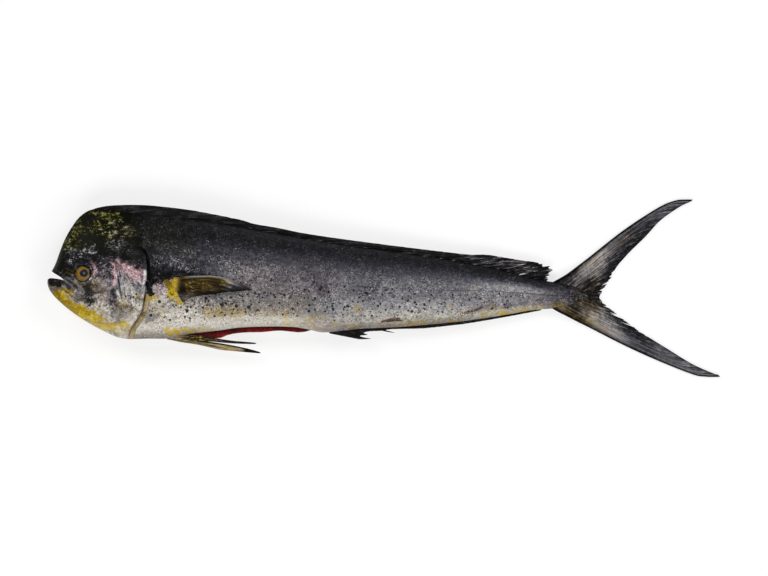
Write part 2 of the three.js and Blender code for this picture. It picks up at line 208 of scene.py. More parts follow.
# Folds and grooves of the face, as (height, half width, line).
FOLDS = [
    (-1.3, 1.7, JAW_LINE), (-0.4, 2, CHEEK_LINE), (-0.8, 1.5, THROAT_LINE), (0.7, 3, UNDER_EYE),
    (-1.2, 1.1, CHEEK_GROOVE),
]
PLATE = {"height": 1.1, "reach": 9, "edge": 4}
BAND = {"height": 1.5, "reach": 4, "edge": 1.5}
EYE_RIM = {"height": 1.1, "off": 3, "width": 2.6}
# The nostril's place, how much flatter than round it is, its depth and half width.
NOSTRIL = (33.5, 30, 1.5, 1.6, 1.6)


def gill_relief(along, up):
    """The raised gill cover, the slot behind it and the bone of the cheek, as in the CAD solid."""
    behind = along - gill_edge(up)
    below = smooth((GILL["top"] - up) / GILL["fade"] + 0.5)
    cover = np.where(behind < 0, GILL["cover"] * smooth(1 + behind / GILL["blend"]), 0)
    slot = np.where(behind > 0, -GILL["slot"] * (1 - smooth(behind / GILL["slot_width"])), 0)
    ends = smooth((CHEEK_BONE["top"] - up) / CHEEK_BONE["fade"])
    ends = ends * smooth((up - CHEEK_BONE["bottom"]) / CHEEK_BONE["fade"])
    cheek = CHEEK_BONE["height"] * bump(along - cheek_bone_edge(up), CHEEK_BONE["reach"]) * ends
    return below * (cover + slot) + cheek


def off_socket(along, up):
    """Distance outside the rim of the eye's socket, in millimetres."""
    return np.hypot(along - EYE["along"], up - EYE["up"]) - EYE["radius"]


def face_relief(along, up):
    """The finer bones and folds of the face."""
    folds = sum(height * bump(gap_to(along, up, line), width) for height, width, line in FOLDS)
    plate = PLATE["height"] * fall(gap_to(along, up, MAXILLA), PLATE["reach"], PLATE["edge"])
    band = BAND["height"] * fall(gap_to(along, up, BRANCHIAL_BAND), BAND["reach"], BAND["edge"])
    rim = EYE_RIM["height"] * bump(off_socket(along, up) - EYE_RIM["off"], EYE_RIM["width"])
    x, y, flat, depth, width = NOSTRIL
    return folds + plate + band + rim - depth * bump(np.hypot(along - x, (up - y) * flat), width)


def trunk_relief(along, up):
    """The thin groove of the lateral line."""
    return -0.35 * bump(up - lateral_line(along), 0.8) * rise(along, 170, 20)


lateral_line = curve([
    (152, 39), (196, 31.5), (256, 25.6), (308, 19), (375, 12.2), (442, 4), (500, 1), (564, -3),
    (642, -3.6), (702, -7.1), (761, -11.6), (803, -13),
])


def half_thickness(along, up, low, detail=True):
    level = clamp01((up - low) / (back(along) - low))
    widest = widest_level(along)
    share = np.where(level < widest, level / widest, (1 - level) / (1 - widest))
    roundness = np.sqrt(np.maximum(0, 1 - (1 - share) ** 2))
    power = np.where(level < widest, 1.1, back_sharpness(along))
    plain = np.hypot(girth(along) * roundness**power, np.minimum(CREST_RADIUS, girth(along)) * roundness)
    relief = gill_relief(along, up)
    if detail:
        relief = relief + face_relief(along, up) + trunk_relief(along, up)
    return plain + relief * smooth(roundness * 2.2)


def flank(along, up):
    return middle(along) + half_thickness(along, up, belly(along), detail=False)


# ---- Meshes --------------------------------------------------------------------------------------------


def placed(along, up, z):
    return np.stack(np.broadcast_arrays(along - LENGTH / 2, up, z), axis=-1) * MM


def added(name, data):
    """A new object in the scene."""
    made = bpy.data.objects.new(name, data)
    bpy.context.scene.collection.objects.link(made)
    return made


def edit_mesh(data, change):
    grid = bmesh.new()
    grid.from_mesh(data)
    change(grid)
    grid.to_mesh(data)
    grid.free()


def mesh_object(name, points, faces, merge):
    """A mesh in which points closer together than `merge` metres become one."""
    data = bpy.data.meshes.new(name)
    data.from_pydata(points.reshape(-1, 3), [], faces)
    edit_mesh(data, lambda grid: bmesh.ops.remove_doubles(grid, verts=grid.verts, dist=merge))
    return added(name, data)


def quads(a, b, c, d):
    return np.stack([np.ravel(corner) for corner in (a, b, c, d)], axis=-1).tolist()


def closed_skin(name, upper, lower):
    """A closed mesh between two grids of points: the upper side, and below it the lower side."""
    stations, rows = upper.shape[:2]
    index = np.arange(2 * stations * rows).reshape(2, stations, rows)
    top, under = index
    faces = quads(top[:-1, :-1], top[1:, :-1], top[1:, 1:], top[:-1, 1:])
    faces += quads(under[:-1, :-1], under[:-1, 1:], under[1:, 1:], under[1:, :-1])
    faces += quads(under[:-1, 0], under[1:, 0], top[1:, 0], top[:-1, 0])
    faces += quads(top[:-1, -1], top[1:, -1], under[1:, -1], under[:-1, -1])
    faces += quads(top[0, :-1], top[0, 1:], under[0, 1:], under[0, :-1])
    faces += quads(top[-1, :-1], under[-1, :-1], under[-1, 1:], top[-1, 1:])
    return mesh_object(name, np.stack([upper, lower]), faces, merge=1e-7)


def carve(target, cutters):
    """Cuts the closed cutters out of the target and leaves the result in its mesh."""
    for cutter in cutters:
        cut = target.modifiers.new("cut", "BOOLEAN")
        cut.operation = "DIFFERENCE"
        cut.solver = "MANIFOLD"
        cut.object = cutter
    shown = target.evaluated_get(bpy.context.evaluated_depsgraph_get())
    made = bpy.data.meshes.new_from_object(shown)
    target.modifiers.clear()
    target.data = made
    for cutter in cutters:
        bpy.data.objects.remove(cutter)


def store(target, **values):
    for name, value in values.items():
        layer = target.data.attributes.new(name, "FLOAT", "POINT")
        layer.data.foreach_set("value", np.ravel(value).astype(np.float32))


def vertices(target):
    """Along, up and z of a mesh's vertices, in millimetres."""
    flat = np.empty(len(target.data.vertices) * 3, np.float32)
    target.data.vertices.foreach_get("co", flat)
    x, y, z = flat.reshape(-1, 3).T.astype(float) / MM
    return x + LENGTH / 2, y, z


def spaced(*steps):
    """Places from 0 on, with the spacing given for each stretch as (end, step)."""
    found = [steps[0][0]]
    for end, step in steps[1:]:
        count = max(1, round((end - found[-1]) / step))
        found += list(np.linspace(found[-1], end, count + 1)[1:])
    return np.array(found)


def body_shell(name, stations, rows, sink=None):
    """The body between two stations as a closed skin. `sink` lowers both flanks by that much.

    The rows are crowded towards the back and the belly, and the stations bend along with the gill's edge.
    """
    crowding, bent, thinnest = 0.6, 34, 0.3
    t = np.linspace(0, 1, rows + 1)
    level = mix(t, (1 - np.cos(np.pi * t)) / 2, crowding)
    station, level = np.meshgrid(stations, level, indexing="ij")
    up = mix(belly(station), back(station), level)
    lean = gill_edge(np.minimum(up, GILL["top"])) - GILL["station"]
    along = np.clip(station + lean * bump(station - GILL["station"], bent), 0, BODY_END)
    sides = []
    for side in (1, -1):
        low = belly(along) - (flap(along) if side < 0 else 0)
        up = mix(low, back(along), level)
        half = half_thickness(along, up, low)
        if sink is not None:
            half = np.maximum(half - sink(station), np.minimum(half, thinnest))
        sides.append(placed(along, up, np.clip(middle(along) + side * half, 0, cad_box[1][2] / MM)))
    return closed_skin(name, *sides)


UPPER_LIP = [(-4, 32), (6.4, 25.1), (12.2, 21.3), (19.5, 17), (27, 10.6)]
LOWER_LIP = [(-4, 12), (0.9, 13.4), (4.2, 15.1), (14, 14), (21.3, 12.5), (27, 10.2)]
# The hollow of the mouth is an egg shape with this middle, these half sizes and this turn in radians.
MOUTH = {"along": 26, "up": 11.5, "length": 26, "height": 6.5, "width": 11, "turn": -0.5}


def mouth_cutters():
    """The closed bodies that cut the open mouth: the gap between the lips and the hollow behind it."""
    start, end = UPPER_LIP[0][0], UPPER_LIP[-1][0]
    along = np.linspace(start, end, 32)[:, None] * np.ones((1, 2))
    up = np.stack([curve(lip)(along[:, 0]) for lip in (LOWER_LIP, UPPER_LIP)], axis=-1)
    wedge = closed_skin("mouth_wedge", placed(along, up, THICKNESS + 6), placed(along, up, -10))
    across, rings = 41, 21
    around, out = np.meshgrid(np.linspace(0, 2 * np.pi, across), np.linspace(-1, 1, rings), indexing="ij")
    ring = np.sqrt(1 - out**2)
    x, y = MOUTH["length"] * out, MOUTH["height"] * ring * np.cos(around)
    cos, sin = np.cos(MOUTH["turn"]), np.sin(MOUTH["turn"])
    along, up = MOUTH["along"] + x * cos - y * sin, MOUTH["up"] + x * sin + y * cos
    index = np.arange(across * rings).reshape(across, rings)
    faces = quads(index[:-1, :-1], index[1:, :-1], index[1:, 1:], index[:-1, 1:])
    points = placed(along, up, float(middle(0)) + MOUTH["width"] * ring * np.sin(around))
    hollow = mesh_object("mouth_hollow", points, faces, merge=1e-6)
    return [wedge, face_outwards(hollow)]


def face_outwards(target):
    edit_mesh(target.data, lambda grid: bmesh.ops.recalc_face_normals(grid, faces=grid.faces))
    return target


def belly_pocket(name, deep, low, high, steps, rows, overhang):
    """The open slit between the two belly flaps, as a flat closed body."""
    share = np.linspace(0, 1, steps + 1)
    along = mix(FLAP[0][0] + 3, FLAP[-1][0] - 3, share)
    reach = deep * np.sin(np.pi * share) ** 0.6 + 1
    outer = belly(along) - flap(along) - overhang
    up = mix(outer[:, None], (belly(along) + reach)[:, None], np.linspace(0, 1, rows + 1))
    along = along[:, None] * np.ones((1, rows + 1))
    upper, lower = placed(along, up, middle(along) + high), placed(along, up, middle(along) + low)
    return closed_skin(name, upper, lower)


def eye_frame(side):
    """Centre of an eyeball and the direction it looks, in millimetres."""
    step = 6

    def height(along, up):
        return float(half_thickness(along, up, belly(along), detail=False) - gill_relief(along, up))

    along, up = EYE["along"], EYE["up"]
    slope_along = (height(along + step, up) - height(along - step, up)) / (2 * step)
    slope_up = (height(along, up + step) - height(along, up - step)) / (2 * step)
    outward = Vector((-slope_along, -slope_up, 1)).normalized()
    centre = Vector((along, up, height(along, up))) - outward * EYE["sunk"]
    if side < 0:
        outward.z, centre.z = -outward.z, -centre.z
    centre.z += float(middle(along))
    return centre, outward


def eyeball(name, side, play=0.0, across=64, rings=48):
    """An eyeball whose rings run from the middle of the pupil to the back. `off` is the share from it."""
    centre, outward = eye_frame(side)
    turn = Vector((0, 0, 1)).rotation_difference(outward).to_matrix()
    around = np.linspace(0, 2 * np.pi, across, endpoint=False)
    polar = np.linspace(0, np.pi, rings + 1)[:, None]
    radius, bulge = EYE["radius"] + play, EYE["bulge"] + play
    flat = radius * np.sin(polar)
    z = bulge * np.cos(polar) + np.zeros((1, across))
    local = np.stack([flat * np.cos(around), flat * np.sin(around), z], axis=-1)
    world = local @ np.array(turn).T + np.array(centre)
    index = np.arange((rings + 1) * across).reshape(rings + 1, across)
    wrapped = np.roll(index, -1, axis=1)
    faces = quads(index[:-1], index[1:], wrapped[1:], wrapped[:-1])
    ball = mesh_object(name, placed(world[..., 0], world[..., 1], world[..., 2]), faces, merge=1e-7)
    return face_outwards(ball)


# ---- Fins ----------------------------------------------------------------------------------------------


def fan(base, tip, lead, trail):
    """Rays of a fan, from the leading edge round to the last ray, as a function of across and out."""
    leading, trailing = edge([*lead, tip]), edge([tip, *trail])
    start, end = leading(0.0), leading(1.0)

    def ray(across, out):
        a, o = across[..., None], out[..., None]
        bow = leading(out) - mix(start, end, o)
        return mix(mix(start, np.array(base, float), a), trailing(across), o) + bow * (1 - a) ** 2

    return ray


def folded(start, end, ridge, outer, lean, place):
    """Rays folded back along a ridge, each from its place on the ridge to its place on the outer edge."""
    rim = edge(outer)

    def ray(across, out):
        share = place(across)
        along = mix(start, end, share)
        tip = rim(np.minimum(1, share + lean * smooth(share / 0.1) * np.sqrt(1 - share)))
        return mix(np.stack([along, ridge(along)], axis=-1), tip, out[..., None])

    return ray


def fin(name, ray, level, rays, steps, root, tip, streaks, web=0.5, torn=None, rare=1, seed=1, columns=6):
    """A fin as a thin closed plate with a ridge on each ray, and torn between the rays where `torn` says.

    `root` and `tip` are its half thickness there, and `web` is the share of it between the rays. The higher
    `rare` is, the fewer of the tears are deep. `streaks` has the number of streaks of its colour across the
    fin and along a ray.
    """
    chance = np.random.default_rng(seed)
    column = np.arange(rays * columns + 1)
    across = column / column[-1]
    on_ray = 0.5 + 0.5 * np.cos(2 * np.pi * column / columns)
    tear = np.zeros(len(column)) if torn is None else torn(across)
    worn = chance.uniform(0, 1, rays + 1)[np.round(column / columns).astype(int)] ** rare
    split = chance.uniform(0.3, 1, rays + 1)[column // columns] ** rare
    reach = 1 - tear * mix(split, 0.55 * worn, on_ray**0.7)
    out = np.linspace(0, 1, steps + 1)[None, :] * reach[:, None]
    across, on_ray = (np.broadcast_to(share[:, None], out.shape) for share in (across, on_ray))
    border = smooth(np.minimum(column, column[-1] - column) / columns)[:, None]
    half = mix(root, tip, out) * mix(web, 1, on_ray) * mix(0.3, 1, border)
    along, up = np.moveaxis(ray(across, out), -1, 0)
    z = level(along, up, out)
    upper, lower = placed(along, up, z + half), placed(along, up, np.maximum(z - half, 0))
    made = closed_skin(name, upper, lower)
    store(made, across=np.tile(across * streaks[0], (2, 1)), out=np.tile(out * streaks[1], (2, 1)))
    return made


UPPER_LOBE = {
    "base": (786, -19),
    "tip": (959.5, 132.1),
    "lead": [
        (748, 8), (758, 13.5), (771, 21), (788, 33.6), (806, 47.4), (857, 87.3), (908, 120.4), (933, 130.8),
        (949, 132.3),
    ],
    "trail": [
        (955, 128.6), (940, 121.4), (911.5, 101.4), (888, 76.2), (864, 52.6), (845.5, 31), (837, 14),
        (827, 0), (819.5, -15),
    ],
}
LOWER_LOBE = {
    "base": (786, -9),
    "tip": (LENGTH, -131.9),
    "lead": [
        (748, -29), (757, -34.6), (771, -41.6), (788, -50.4), (806, -59.2), (857, -85.2), (908, -108.3),
        (959, -128.4), (978, -131.8), (991, -132.2),
    ],
    "trail": [
        (997, -128.8), (988.5, -126.2), (957.8, -112.4), (922.2, -90.6), (883.5, -66.3), (859.8, -48.8),
        (831, -26), (818.5, -12.5),
    ],
}
DORSAL_EDGE = [
    (70, 118.5), (80, 120.9), (94, 122.9), (123.5, 124), (154.8, 122.9), (186, 119.6), (226, 113.9),
    (287, 101.7), (308, 95.6), (346, 89), (378, 82.4), (434, 73.8), (526, 61.9), (586, 54.7),
    (626, 50.4), (652, 50), (677, 46.4), (702, 42), (722, 39.6), (734, 36.5), (753, 31), (749, 22),
    (745, 14),
]
ANAL_EDGE = [
    (419, -67.4), (437, -71), (450, -73.6), (458.6, -75), (464, -72), (465, -70), (468, -67.4),
    (476, -64.4), (499, -63), (508, -61.2), (531, -60.4), (552, -60), (568, -58.9), (617, -53.4),
    (651, -48), (685, -42), (733, -33),
]
# Strands of torn rays at the front of the fin below.
ANAL_STRANDS = [
    {
        "base": (450, -68), "tip": (481.5, -74.6),
        "lead": [(446, -71), (458.6, -75.2), (470, -75.8)], "trail": [(472, -73.4), (462, -71)],
    },
    {
        "base": (458, -65), "tip": (475.5, -68.6),
        "lead": [(456, -67.5), (463, -69.8), (470, -69.8)], "trail": [(470, -67), (462, -65)],
    },
    {
        "base": (492, -60), "tip": (517, -66.3),
        "lead": [(489, -61.5), (499, -63.8), (508, -65.4)], "trail": [(508, -63.8), (500, -61.8)],
    },
]
PECTORAL = {
    "base": (199, -17),
    "tip": (305, -3.2),
    "lead": [(172, 9), (186, 14.5), (203, 17.3), (235, 18.7), (257, 17), (275, 12.1), (293, 4.1)],
    "trail": [(286, -4.4), (258, -7.4), (233, -10.6), (214, -14.4), (202, -21.6)],
}
PELVIC_LEFT = {
    "base": (178, -74),
    "tip": (310, -82),
    "lead": [(174, -67.5), (206, -68.8), (236, -71.6), (257, -75.2), (275, -77.8), (305, -80.4)],
    "trail": [(305, -82.8), (275, -81.9), (244, -79.4), (205, -76.5)],
}
PELVIC_RIGHT = {
    "base": (178, -76),
    "tip": (316.5, -96.4),
    "lead": [(174, -72), (215, -76.5), (257, -81.8), (291, -88.4), (311, -93.6)],
    "trail": [(311, -96.6), (282, -94), (254, -91.2), (225, -84.4), (196, -79.8), (184, -76.6)],
}


# ---- Colour masks --------------------------------------------------------------------------------------


# Waves that move the marks, as (millimetres moved, length, direction in radians).
WAVES = [(2.6, 23, 0.4), (1.9, 14, 1.9), (1.3, 8.3, 3.0), (0.9, 5.1, 4.4)]


def wavering(along, up):
    """Places moved a few millimetres by crossing waves, so that soft marks get uneven outlines."""
    shift_along, shift_up = 0, 0
    for size, length, turn in WAVES:
        across = (along * np.cos(turn) + up * np.sin(turn)) / length * 2 * np.pi
        down = (along * np.sin(turn) - up * np.cos(turn)) / length * 2 * np.pi
        shift_along = shift_along + size * np.sin(across + 1.7 * np.sin(0.61 * down))
        shift_up = shift_up + size * np.sin(down + 2.1 * np.sin(0.53 * across) + turn)
    return along + shift_along, up + shift_up


def beyond(along, up, centre_along, centre_up, flat, radius, softness):
    """0 inside an oval patch and 1 well outside it. `flat` makes it longer than high, or higher below 1."""
    return rise(np.hypot(along - centre_along, (up - centre_up) * flat), radius, softness)


def marks(along, up, items, sharp=False):
    """The strongest of several marks. Each is (strength, half width, softness, points of its line)."""
    if not sharp:
        along, up = wavering(along, up)
    found = np.zeros(np.shape(along))
    for strength, width, soft, points in items:
        line = points if len(points) > 1 else [points[0], (points[0][0] + 0.5, points[0][1])]
        found = np.maximum(found, strength * (1 - smooth((gap_to(along, up, line) - width) / soft)))
    return found


GOLD = [
    (1, 4.5, 8, [(13, -12), (22, -17), (36, -25), (48, -33), (60, -39), (76, -43)]),
    (1, 2.5, 4, [(28, -2), (36, -8)]), (0.5, 2, 4, [(20, 1), (24, -1)]),
    (0.8, 1.5, 7, [(66, -52), (91, -56.6), (115, -53.4)]), (0.42, 2, 8, [(96, -60), (125, -64)]),
    (0.75, 2.5, 6, [(30, 25), (39, 23)]), (0.5, 2, 5, [(42, 14), (54, 9)]),
    (0.45, 3, 7, [(57, 3), (66, 3), (76, 9)]), (0.45, 2, 6, [(84, 3), (82, -8)]),
    (0.55, 2.5, 6, [(107, -25), (116, -22)]), (0.5, 2, 6, [(117, -29), (124, -31)]),
    (0.65, 2, 6, [(134, -10), (138, -16)]), (0.85, 2.5, 7, [(154, -14), (161, -13)]),
    (0.34, 4, 10, [(161, -30), (170, -38)]), (1, 3.5, 5, [(179, 9), (184, 2), (188, -5)]),
    (0.85, 2.5, 5, [(183, -6), (190, -14), (197, -20)]),
    (0.9, 0.8, 4, [(176, -64.5), (192, -65), (208, -63.5)]), (0.62, 1, 5, [(208, -63), (246, -61)]),
    (0.48, 4, 9, [(236, -36), (262, -36)]), (0.44, 3, 9, [(270, -36), (292, -36)]),
    (0.27, 3, 9, [(305, -36), (320, -37)]), (0.5, 2, 6, [(333, -35), (336, -34)]),
    (0.5, 2, 6, [(351, -41), (355, -41)]), (0.5, 2, 6, [(382, -51), (386, -50)]),
    (0.5, 2, 5, [(394, -54), (397, -57)]), (0.5, 3, 7, [(457, -30), (461, -31)]),
    (0.45, 2, 6, [(446, -56), (462, -56)]), (0.3, 4, 9, [(500, -52), (560, -48)]),
    (0.5, 2, 6, [(391, -44), (396, -50)]), (0.5, 2, 6, [(421, -50), (428, -54)]),
    (0.42, 2, 5, [(403, -39), (407, -43)]), (0.42, 2, 5, [(596, -26), (601, -29)]),
    (0.42, 2, 6, [(654, -30), (662, -27)]), (0.3, 1, 4, [(634, -1), (639, -2)]),
    (0.7, 2, 9, [(752, -25), (775, -30), (795, -38)]), (0.5, 2, 5, [(354, -51), (365, -53)]),
]
ROSE = [
    (0.62, 6, 12, [(112, 32), (126, 26), (137, 19)]), (0.36, 6, 12, [(82, 32), (90, 20), (88, 8)]),
    (0.55, 4, 8, [(168, 7), (171, 0)]), (0.3, 5, 12, [(85, -5), (100, -18)]),
    (0.5, 1.5, 4, [(28, 40), (38, 36)]), (0.3, 10, 30, [(300, 12), (420, 4)]),
    (0.26, 8, 12, [(728, -20), (765, -20)]),
]
# Narrow streaks of slime on the cheek, which spread backwards from its top.
ROSE_STREAKS = [
    (1, 1.2, 3, [(65, 41), (70, 34), (72.5, 27), (71, 19)]), (1, 1.6, 3.5, [(96, 40), (106, 38.5)]),
    (0.95, 1.4, 3, [(99, 38), (101.5, 28), (102, 16), (100.5, 6)]),
    (0.95, 1.2, 2.8, [(104, 39), (117, 34), (127, 28), (137, 23)]),
    (0.95, 1.2, 2.6, [(104, 38), (118, 29), (137, 18)]),
    (0.8, 0.8, 2.4, [(103, 36), (116, 26), (134, 14)]),
    (0.6, 0.6, 2.2, [(103, 34), (112, 22), (124, 10)]),
]
PALE = [
    (0.5, 3, 8, [(101, 39), (113, 35)]), (0.5, 2.5, 6, [(20, -8), (38, -20), (50, -28)]),
    (0.5, 3, 7, [(50, -42), (80, -50)]), (0.4, 4, 9, [(95, -64), (120, -67)]),
    (0.4, 10, 14, [(118, -12), (134, -28)]), (0.34, 3, 7, [(169, 5), (174, -5)]),
    (0.5, 3, 5, [(176, 11), (184, 9)]), (0.3, 3, 8, [(96, -47), (112, -48)]),
    (0.36, 3, 6, [(121, -54), (127, -48)]), (0.4, 6, 10, [(72, -18), (82, -28)]),
    (0.3, 3, 12, [(186, 44), (204, 32)]), (0.22, 6, 14, [(268, 20), (300, 18), (332, 22)]),
    # The two marks on the line below are painted glints of the wet skin.
    (0.3, 3, 12, [(372, 13), (384, 13)]), (0.3, 3, 12, [(500, 4), (520, -3)]),
    (0.26, 5, 16, [(640, 6), (720, 0)]),
]
PALE_LINES = [
    # The lines that start at (25, 13), (31, 15), (22, 5) and (25, 18) run along the upper jaw bone and are
    # partly painted highlights on it.
    (0.46, 0.5, 1.8, [(25, 13), (36, 4), (47, -7)]), (0.42, 0.5, 1.6, [(29, 23.5), (39, 20)]),
    (0.38, 0.5, 1.6, [(30, 28), (38, 26)]), (0.42, 0.8, 3, [(28, 40), (33, 38), (38, 36)]),
    (0.34, 0.4, 1.6, [(31, 15), (42, 8), (51, -1)]), (0.4, 0.4, 1.8, [(22, 5), (34, -6), (46, -16)]),
    (0.9, 1.1, 2.2, [(146, 25), (146, 16), (144.5, 8)]),
    (0.8, 1.2, 3, [(101.5, 26), (102.5, 16), (101, 6)]),
    (0.6, 0.6, 2.2, [(142.5, -10), (140, -26), (134, -40), (125, -54)]),
    (0.36, 0.4, 1.6, [(25, 18), (36, 12), (50, 3)]),
    (0.35, 0.5, 2, [(84, -48), (104, -48.5), (124, -45)]),
]
# Light parts of the forehead, as (tone added, half width, softness, line): olive ones, and silvery glints,
# which are painted highlights of the wet skin.
FOREHEAD_LIGHTS = [
    (0.14, 4, 11, [(76, 104), (90, 104), (102, 101)]), (0.14, 3, 9, [(77, 88), (88, 86), (96, 82)]),
    (0.1, 3, 11, [(30, 62), (37, 75), (46, 92)]), (0.05, 4, 11, [(60, 90), (70, 98)]),
    (0.06, 4, 12, [(108, 84), (126, 84)]),
]
GLINTS = [
    (0.3, 4, 8, [(34, 47), (48, 49), (58, 52)]), (0.2, 3, 8, [(56, 55), (68, 59)]),
    (0.16, 4, 10, [(94, 66), (108, 63), (118, 56)]), (0.05, 3, 9, [(98, 90), (112, 86)]),
]
# Dark marks of the skin, with painted shadows beside the pectoral fin and painted shade in the gill slot
# among them.
INK_AND_SHADE = [
    (0.9, 6, 14, [(8, 25), (20, 27), (34, 36), (50, 43)]), (0.8, 4, 9, [(18, 16), (26, 21), (34, 24)]),
    (0.55, 3, 7, [(26, 11), (34, 6), (44, 2)]), (0.6, 4, 8, [(60, 3), (65, -6), (62, -16)]),
    (0.5, 3, 7, [(50, -13), (58, -16)]), (0.6, 4, 7, [(46, 40), (58, 40)]),
    (0.8, 2, 5, [(2, 11), (10, 10), (18, 6)]), (0.6, 3, 7, [(78, 79), (90, 73)]),
    (0.5, 5, 8, [(68, 40), (88, 46), (104, 49), (122, 45)]), (0.4, 3, 6, [(36, 12), (46, 2)]),
    (0.5, 3, 7, [(99, -6), (102, -9)]), (0.5, 2, 6, [(98, -20), (101, -22)]),
    (0.36, 5, 9, [(78, -2), (88, -9), (98, -10)]), (0.42, 6, 10, [(102, -30), (118, -30)]),
    (0.34, 3, 9, [(104, -42), (118, -40)]), (0.22, 3, 8, [(124, -40), (130, -34)]),
    (0.5, 4, 8, [(152, 44), (155, 56)]), (0.6, 4, 6, [(120, 42), (130, 38), (138, 42), (146, 50)]),
    # (172, 17) to (206, 21) is a dark band above the pectoral fin's root: dark skin with a painted shadow of
    # the fin.
    (0.4, 4, 9, [(148, -42), (160, -41)]), (0.7, 2, 6, [(172, 17), (190, 23), (206, 21)]),
    (0.4, 4, 7, [(66, 4), (76, 0)]), (0.5, 4, 8, [(112, 54), (124, 55)]),
    # (153, 16) to (154, -6) is painted shade in the gill slot, and (212, -13) to (246, -13) a painted shadow
    # under the pectoral fin.
    (0.85, 3, 5, [(153, 16), (154, 4), (154, -6)]), (0.26, 3, 8, [(212, -13), (226, -14), (246, -13)]),
    (0.4, 8, 14, [(150, 25), (170, 22)]), (0.36, 5, 10, [(386, 16), (402, 9), (411, -2)]),
    (0.28, 3, 9, [(402, 19), (424, 18)]), (0.26, 4, 10, [(370, -14), (392, -22)]),
    (0.26, 3, 10, [(459, -1), (478, -6)]), (0.26, 3, 10, [(470, -14), (482, -26)]),
    (0.22, 3, 10, [(330, -5), (350, -3)]), (0.3, 4, 12, [(232, 32), (262, 30)]),
]
LINES = [
    (0.5, 0.8, 3, [(620, -36), (632, -33.5), (645, -28)]), (0.4, 0.6, 3, [(675, -29), (690, -26)]),
    (0.6, 0.5, 2.4, [(496, -49.5), (508, -46.5), (522, -45)]),
    (0.6, 0.5, 2.4, [(504, -49), (514, -48), (526, -47.5)]),
    # The line from (141, 58) down to (152.5, -6) is painted shade in the slot behind the gill cover.
    (1, 1.3, 2.4, [(141, 58), (146, 53), (150.5, 42), (151.5, 28), (151, 14), (150.5, 2), (152.5, -6)]),
    (0.7, 0.6, 2.5, [(134, 60), (142, 58)]), (0.4, 0.4, 2, JAW_LINE),
    (0.6, 0.4, 2, [(103, 28), (107, 10), (111, -14)]), (0.28, 0.3, 1.8, THROAT_LINE),
    (0.22, 0.4, 2.4, CHEEK_LINE),
    (0.36, 0.3, 1.6, [(153.5, -10), (151.5, -22), (148.5, -36), (140.5, -49), (132.5, -60), (128, -72)]),
    (0.4, 0.3, 1.6, [(146.5, -10), (144.2, -22), (141.5, -34), (133.5, -47), (125.5, -58), (121, -70)]),
]
BLOOD = [
    (0.7, 0.8, 3, [(78, 115.5), (80, 115)]), (0.6, 1.5, 4, [(111, -71), (125, -74)]),
    (0.42, 1.5, 6, [(400, -54), (412, -53)]), (0.42, 2.5, 7, [(496, -49), (523, -45)]),
    (0.45, 1.5, 5, [(619, -35), (645, -28)]), (0.32, 1.5, 6, [(668, -28), (688, -25)]),
]
# Places and sizes of the largest freckles.
FRECKLES = [
    (167.4, -19.7, 2.6), (154.6, -40, 2.4), (180, -12.7, 1.5), (175.5, -41.6, 1.3), (183, -46.6, 1.8),
    (187.4, -24.9, 1.6), (199, -28.3, 1.7), (208.8, -27.5, 1.7), (208.3, -33.3, 2.5), (212, -44, 1.8),
    (231.5, -28.3, 1.9), (236, -15, 2.5), (239.7, -18.6, 1.6), (259.6, -24.4, 2.8), (266, -22.9, 1.9),
    (259, -15.8, 1.6), (272.9, -13.5, 1.7), (281, -26.5, 2.4), (276.8, -31, 1.6), (299, -27.9, 2.9),
    (303, -23.6, 1.6), (294, -34.9, 1.6), (314.7, -9.1, 1.9), (319.7, -13.5, 1.7), (306, 23.2, 1.5),
    (336.4, -9.8, 1.8), (352, -10.2, 2), (359.6, -14.6, 1.6), (364, -30.3, 2), (388, -33.9, 2.3),
    (397, -15.2, 2), (404.8, -1.4, 2.3), (395.3, 9.3, 1.5), (412, 12.9, 1.5), (422.6, -26.2, 1.9),
    (412, -34.2, 1.8), (445, -26.2, 2.2), (472.6, -6.8, 2.3), (493.8, -23.2, 1.8), (501.5, -32.1, 1.6),
    (125, -14, 1.4), (117, -12, 1.2), (133.4, -8.6, 1.6), (129, -13, 1.5), (137.7, -25, 1.1),
    (74.5, -21, 1.1), (157, -29.7, 1.2), (97, -19.4, 1.6), (99, -9, 1.6),
]

# Golden stains along the belly's edge, as (start, end, strength), and how far above the edge they are.
EDGE_STAINS = [
    (410, 418, 0.4), (452, 470, 0.45), (484, 493, 0.4), (503, 509, 0.45), (519, 526, 0.5),
    (535, 563, 0.75), (575, 584, 0.6), (598, 612, 0.9), (628, 634, 0.5), (644, 657, 0.7),
    (663, 699, 1.1), (706, 722, 0.9), (730, 738, 0.6), (746, 774, 0.8),
]
EDGE_STAIN_RISE = 3

# The place from which the streaks of the cheek spread.
CHEEK_TOP = (98, 54)

brow = curve([(0, 20), (20, 30), (40, 38), (60, 45), (90, 46), (115, 41), (130, 42), (150, 50)])
cheek_tone = curve([
    (-76, 0.64), (-60, 0.68), (-45, 0.66), (-32, 0.6), (-20, 0.54), (10, 0.48), (25, 0.38), (40, 0.27),
])
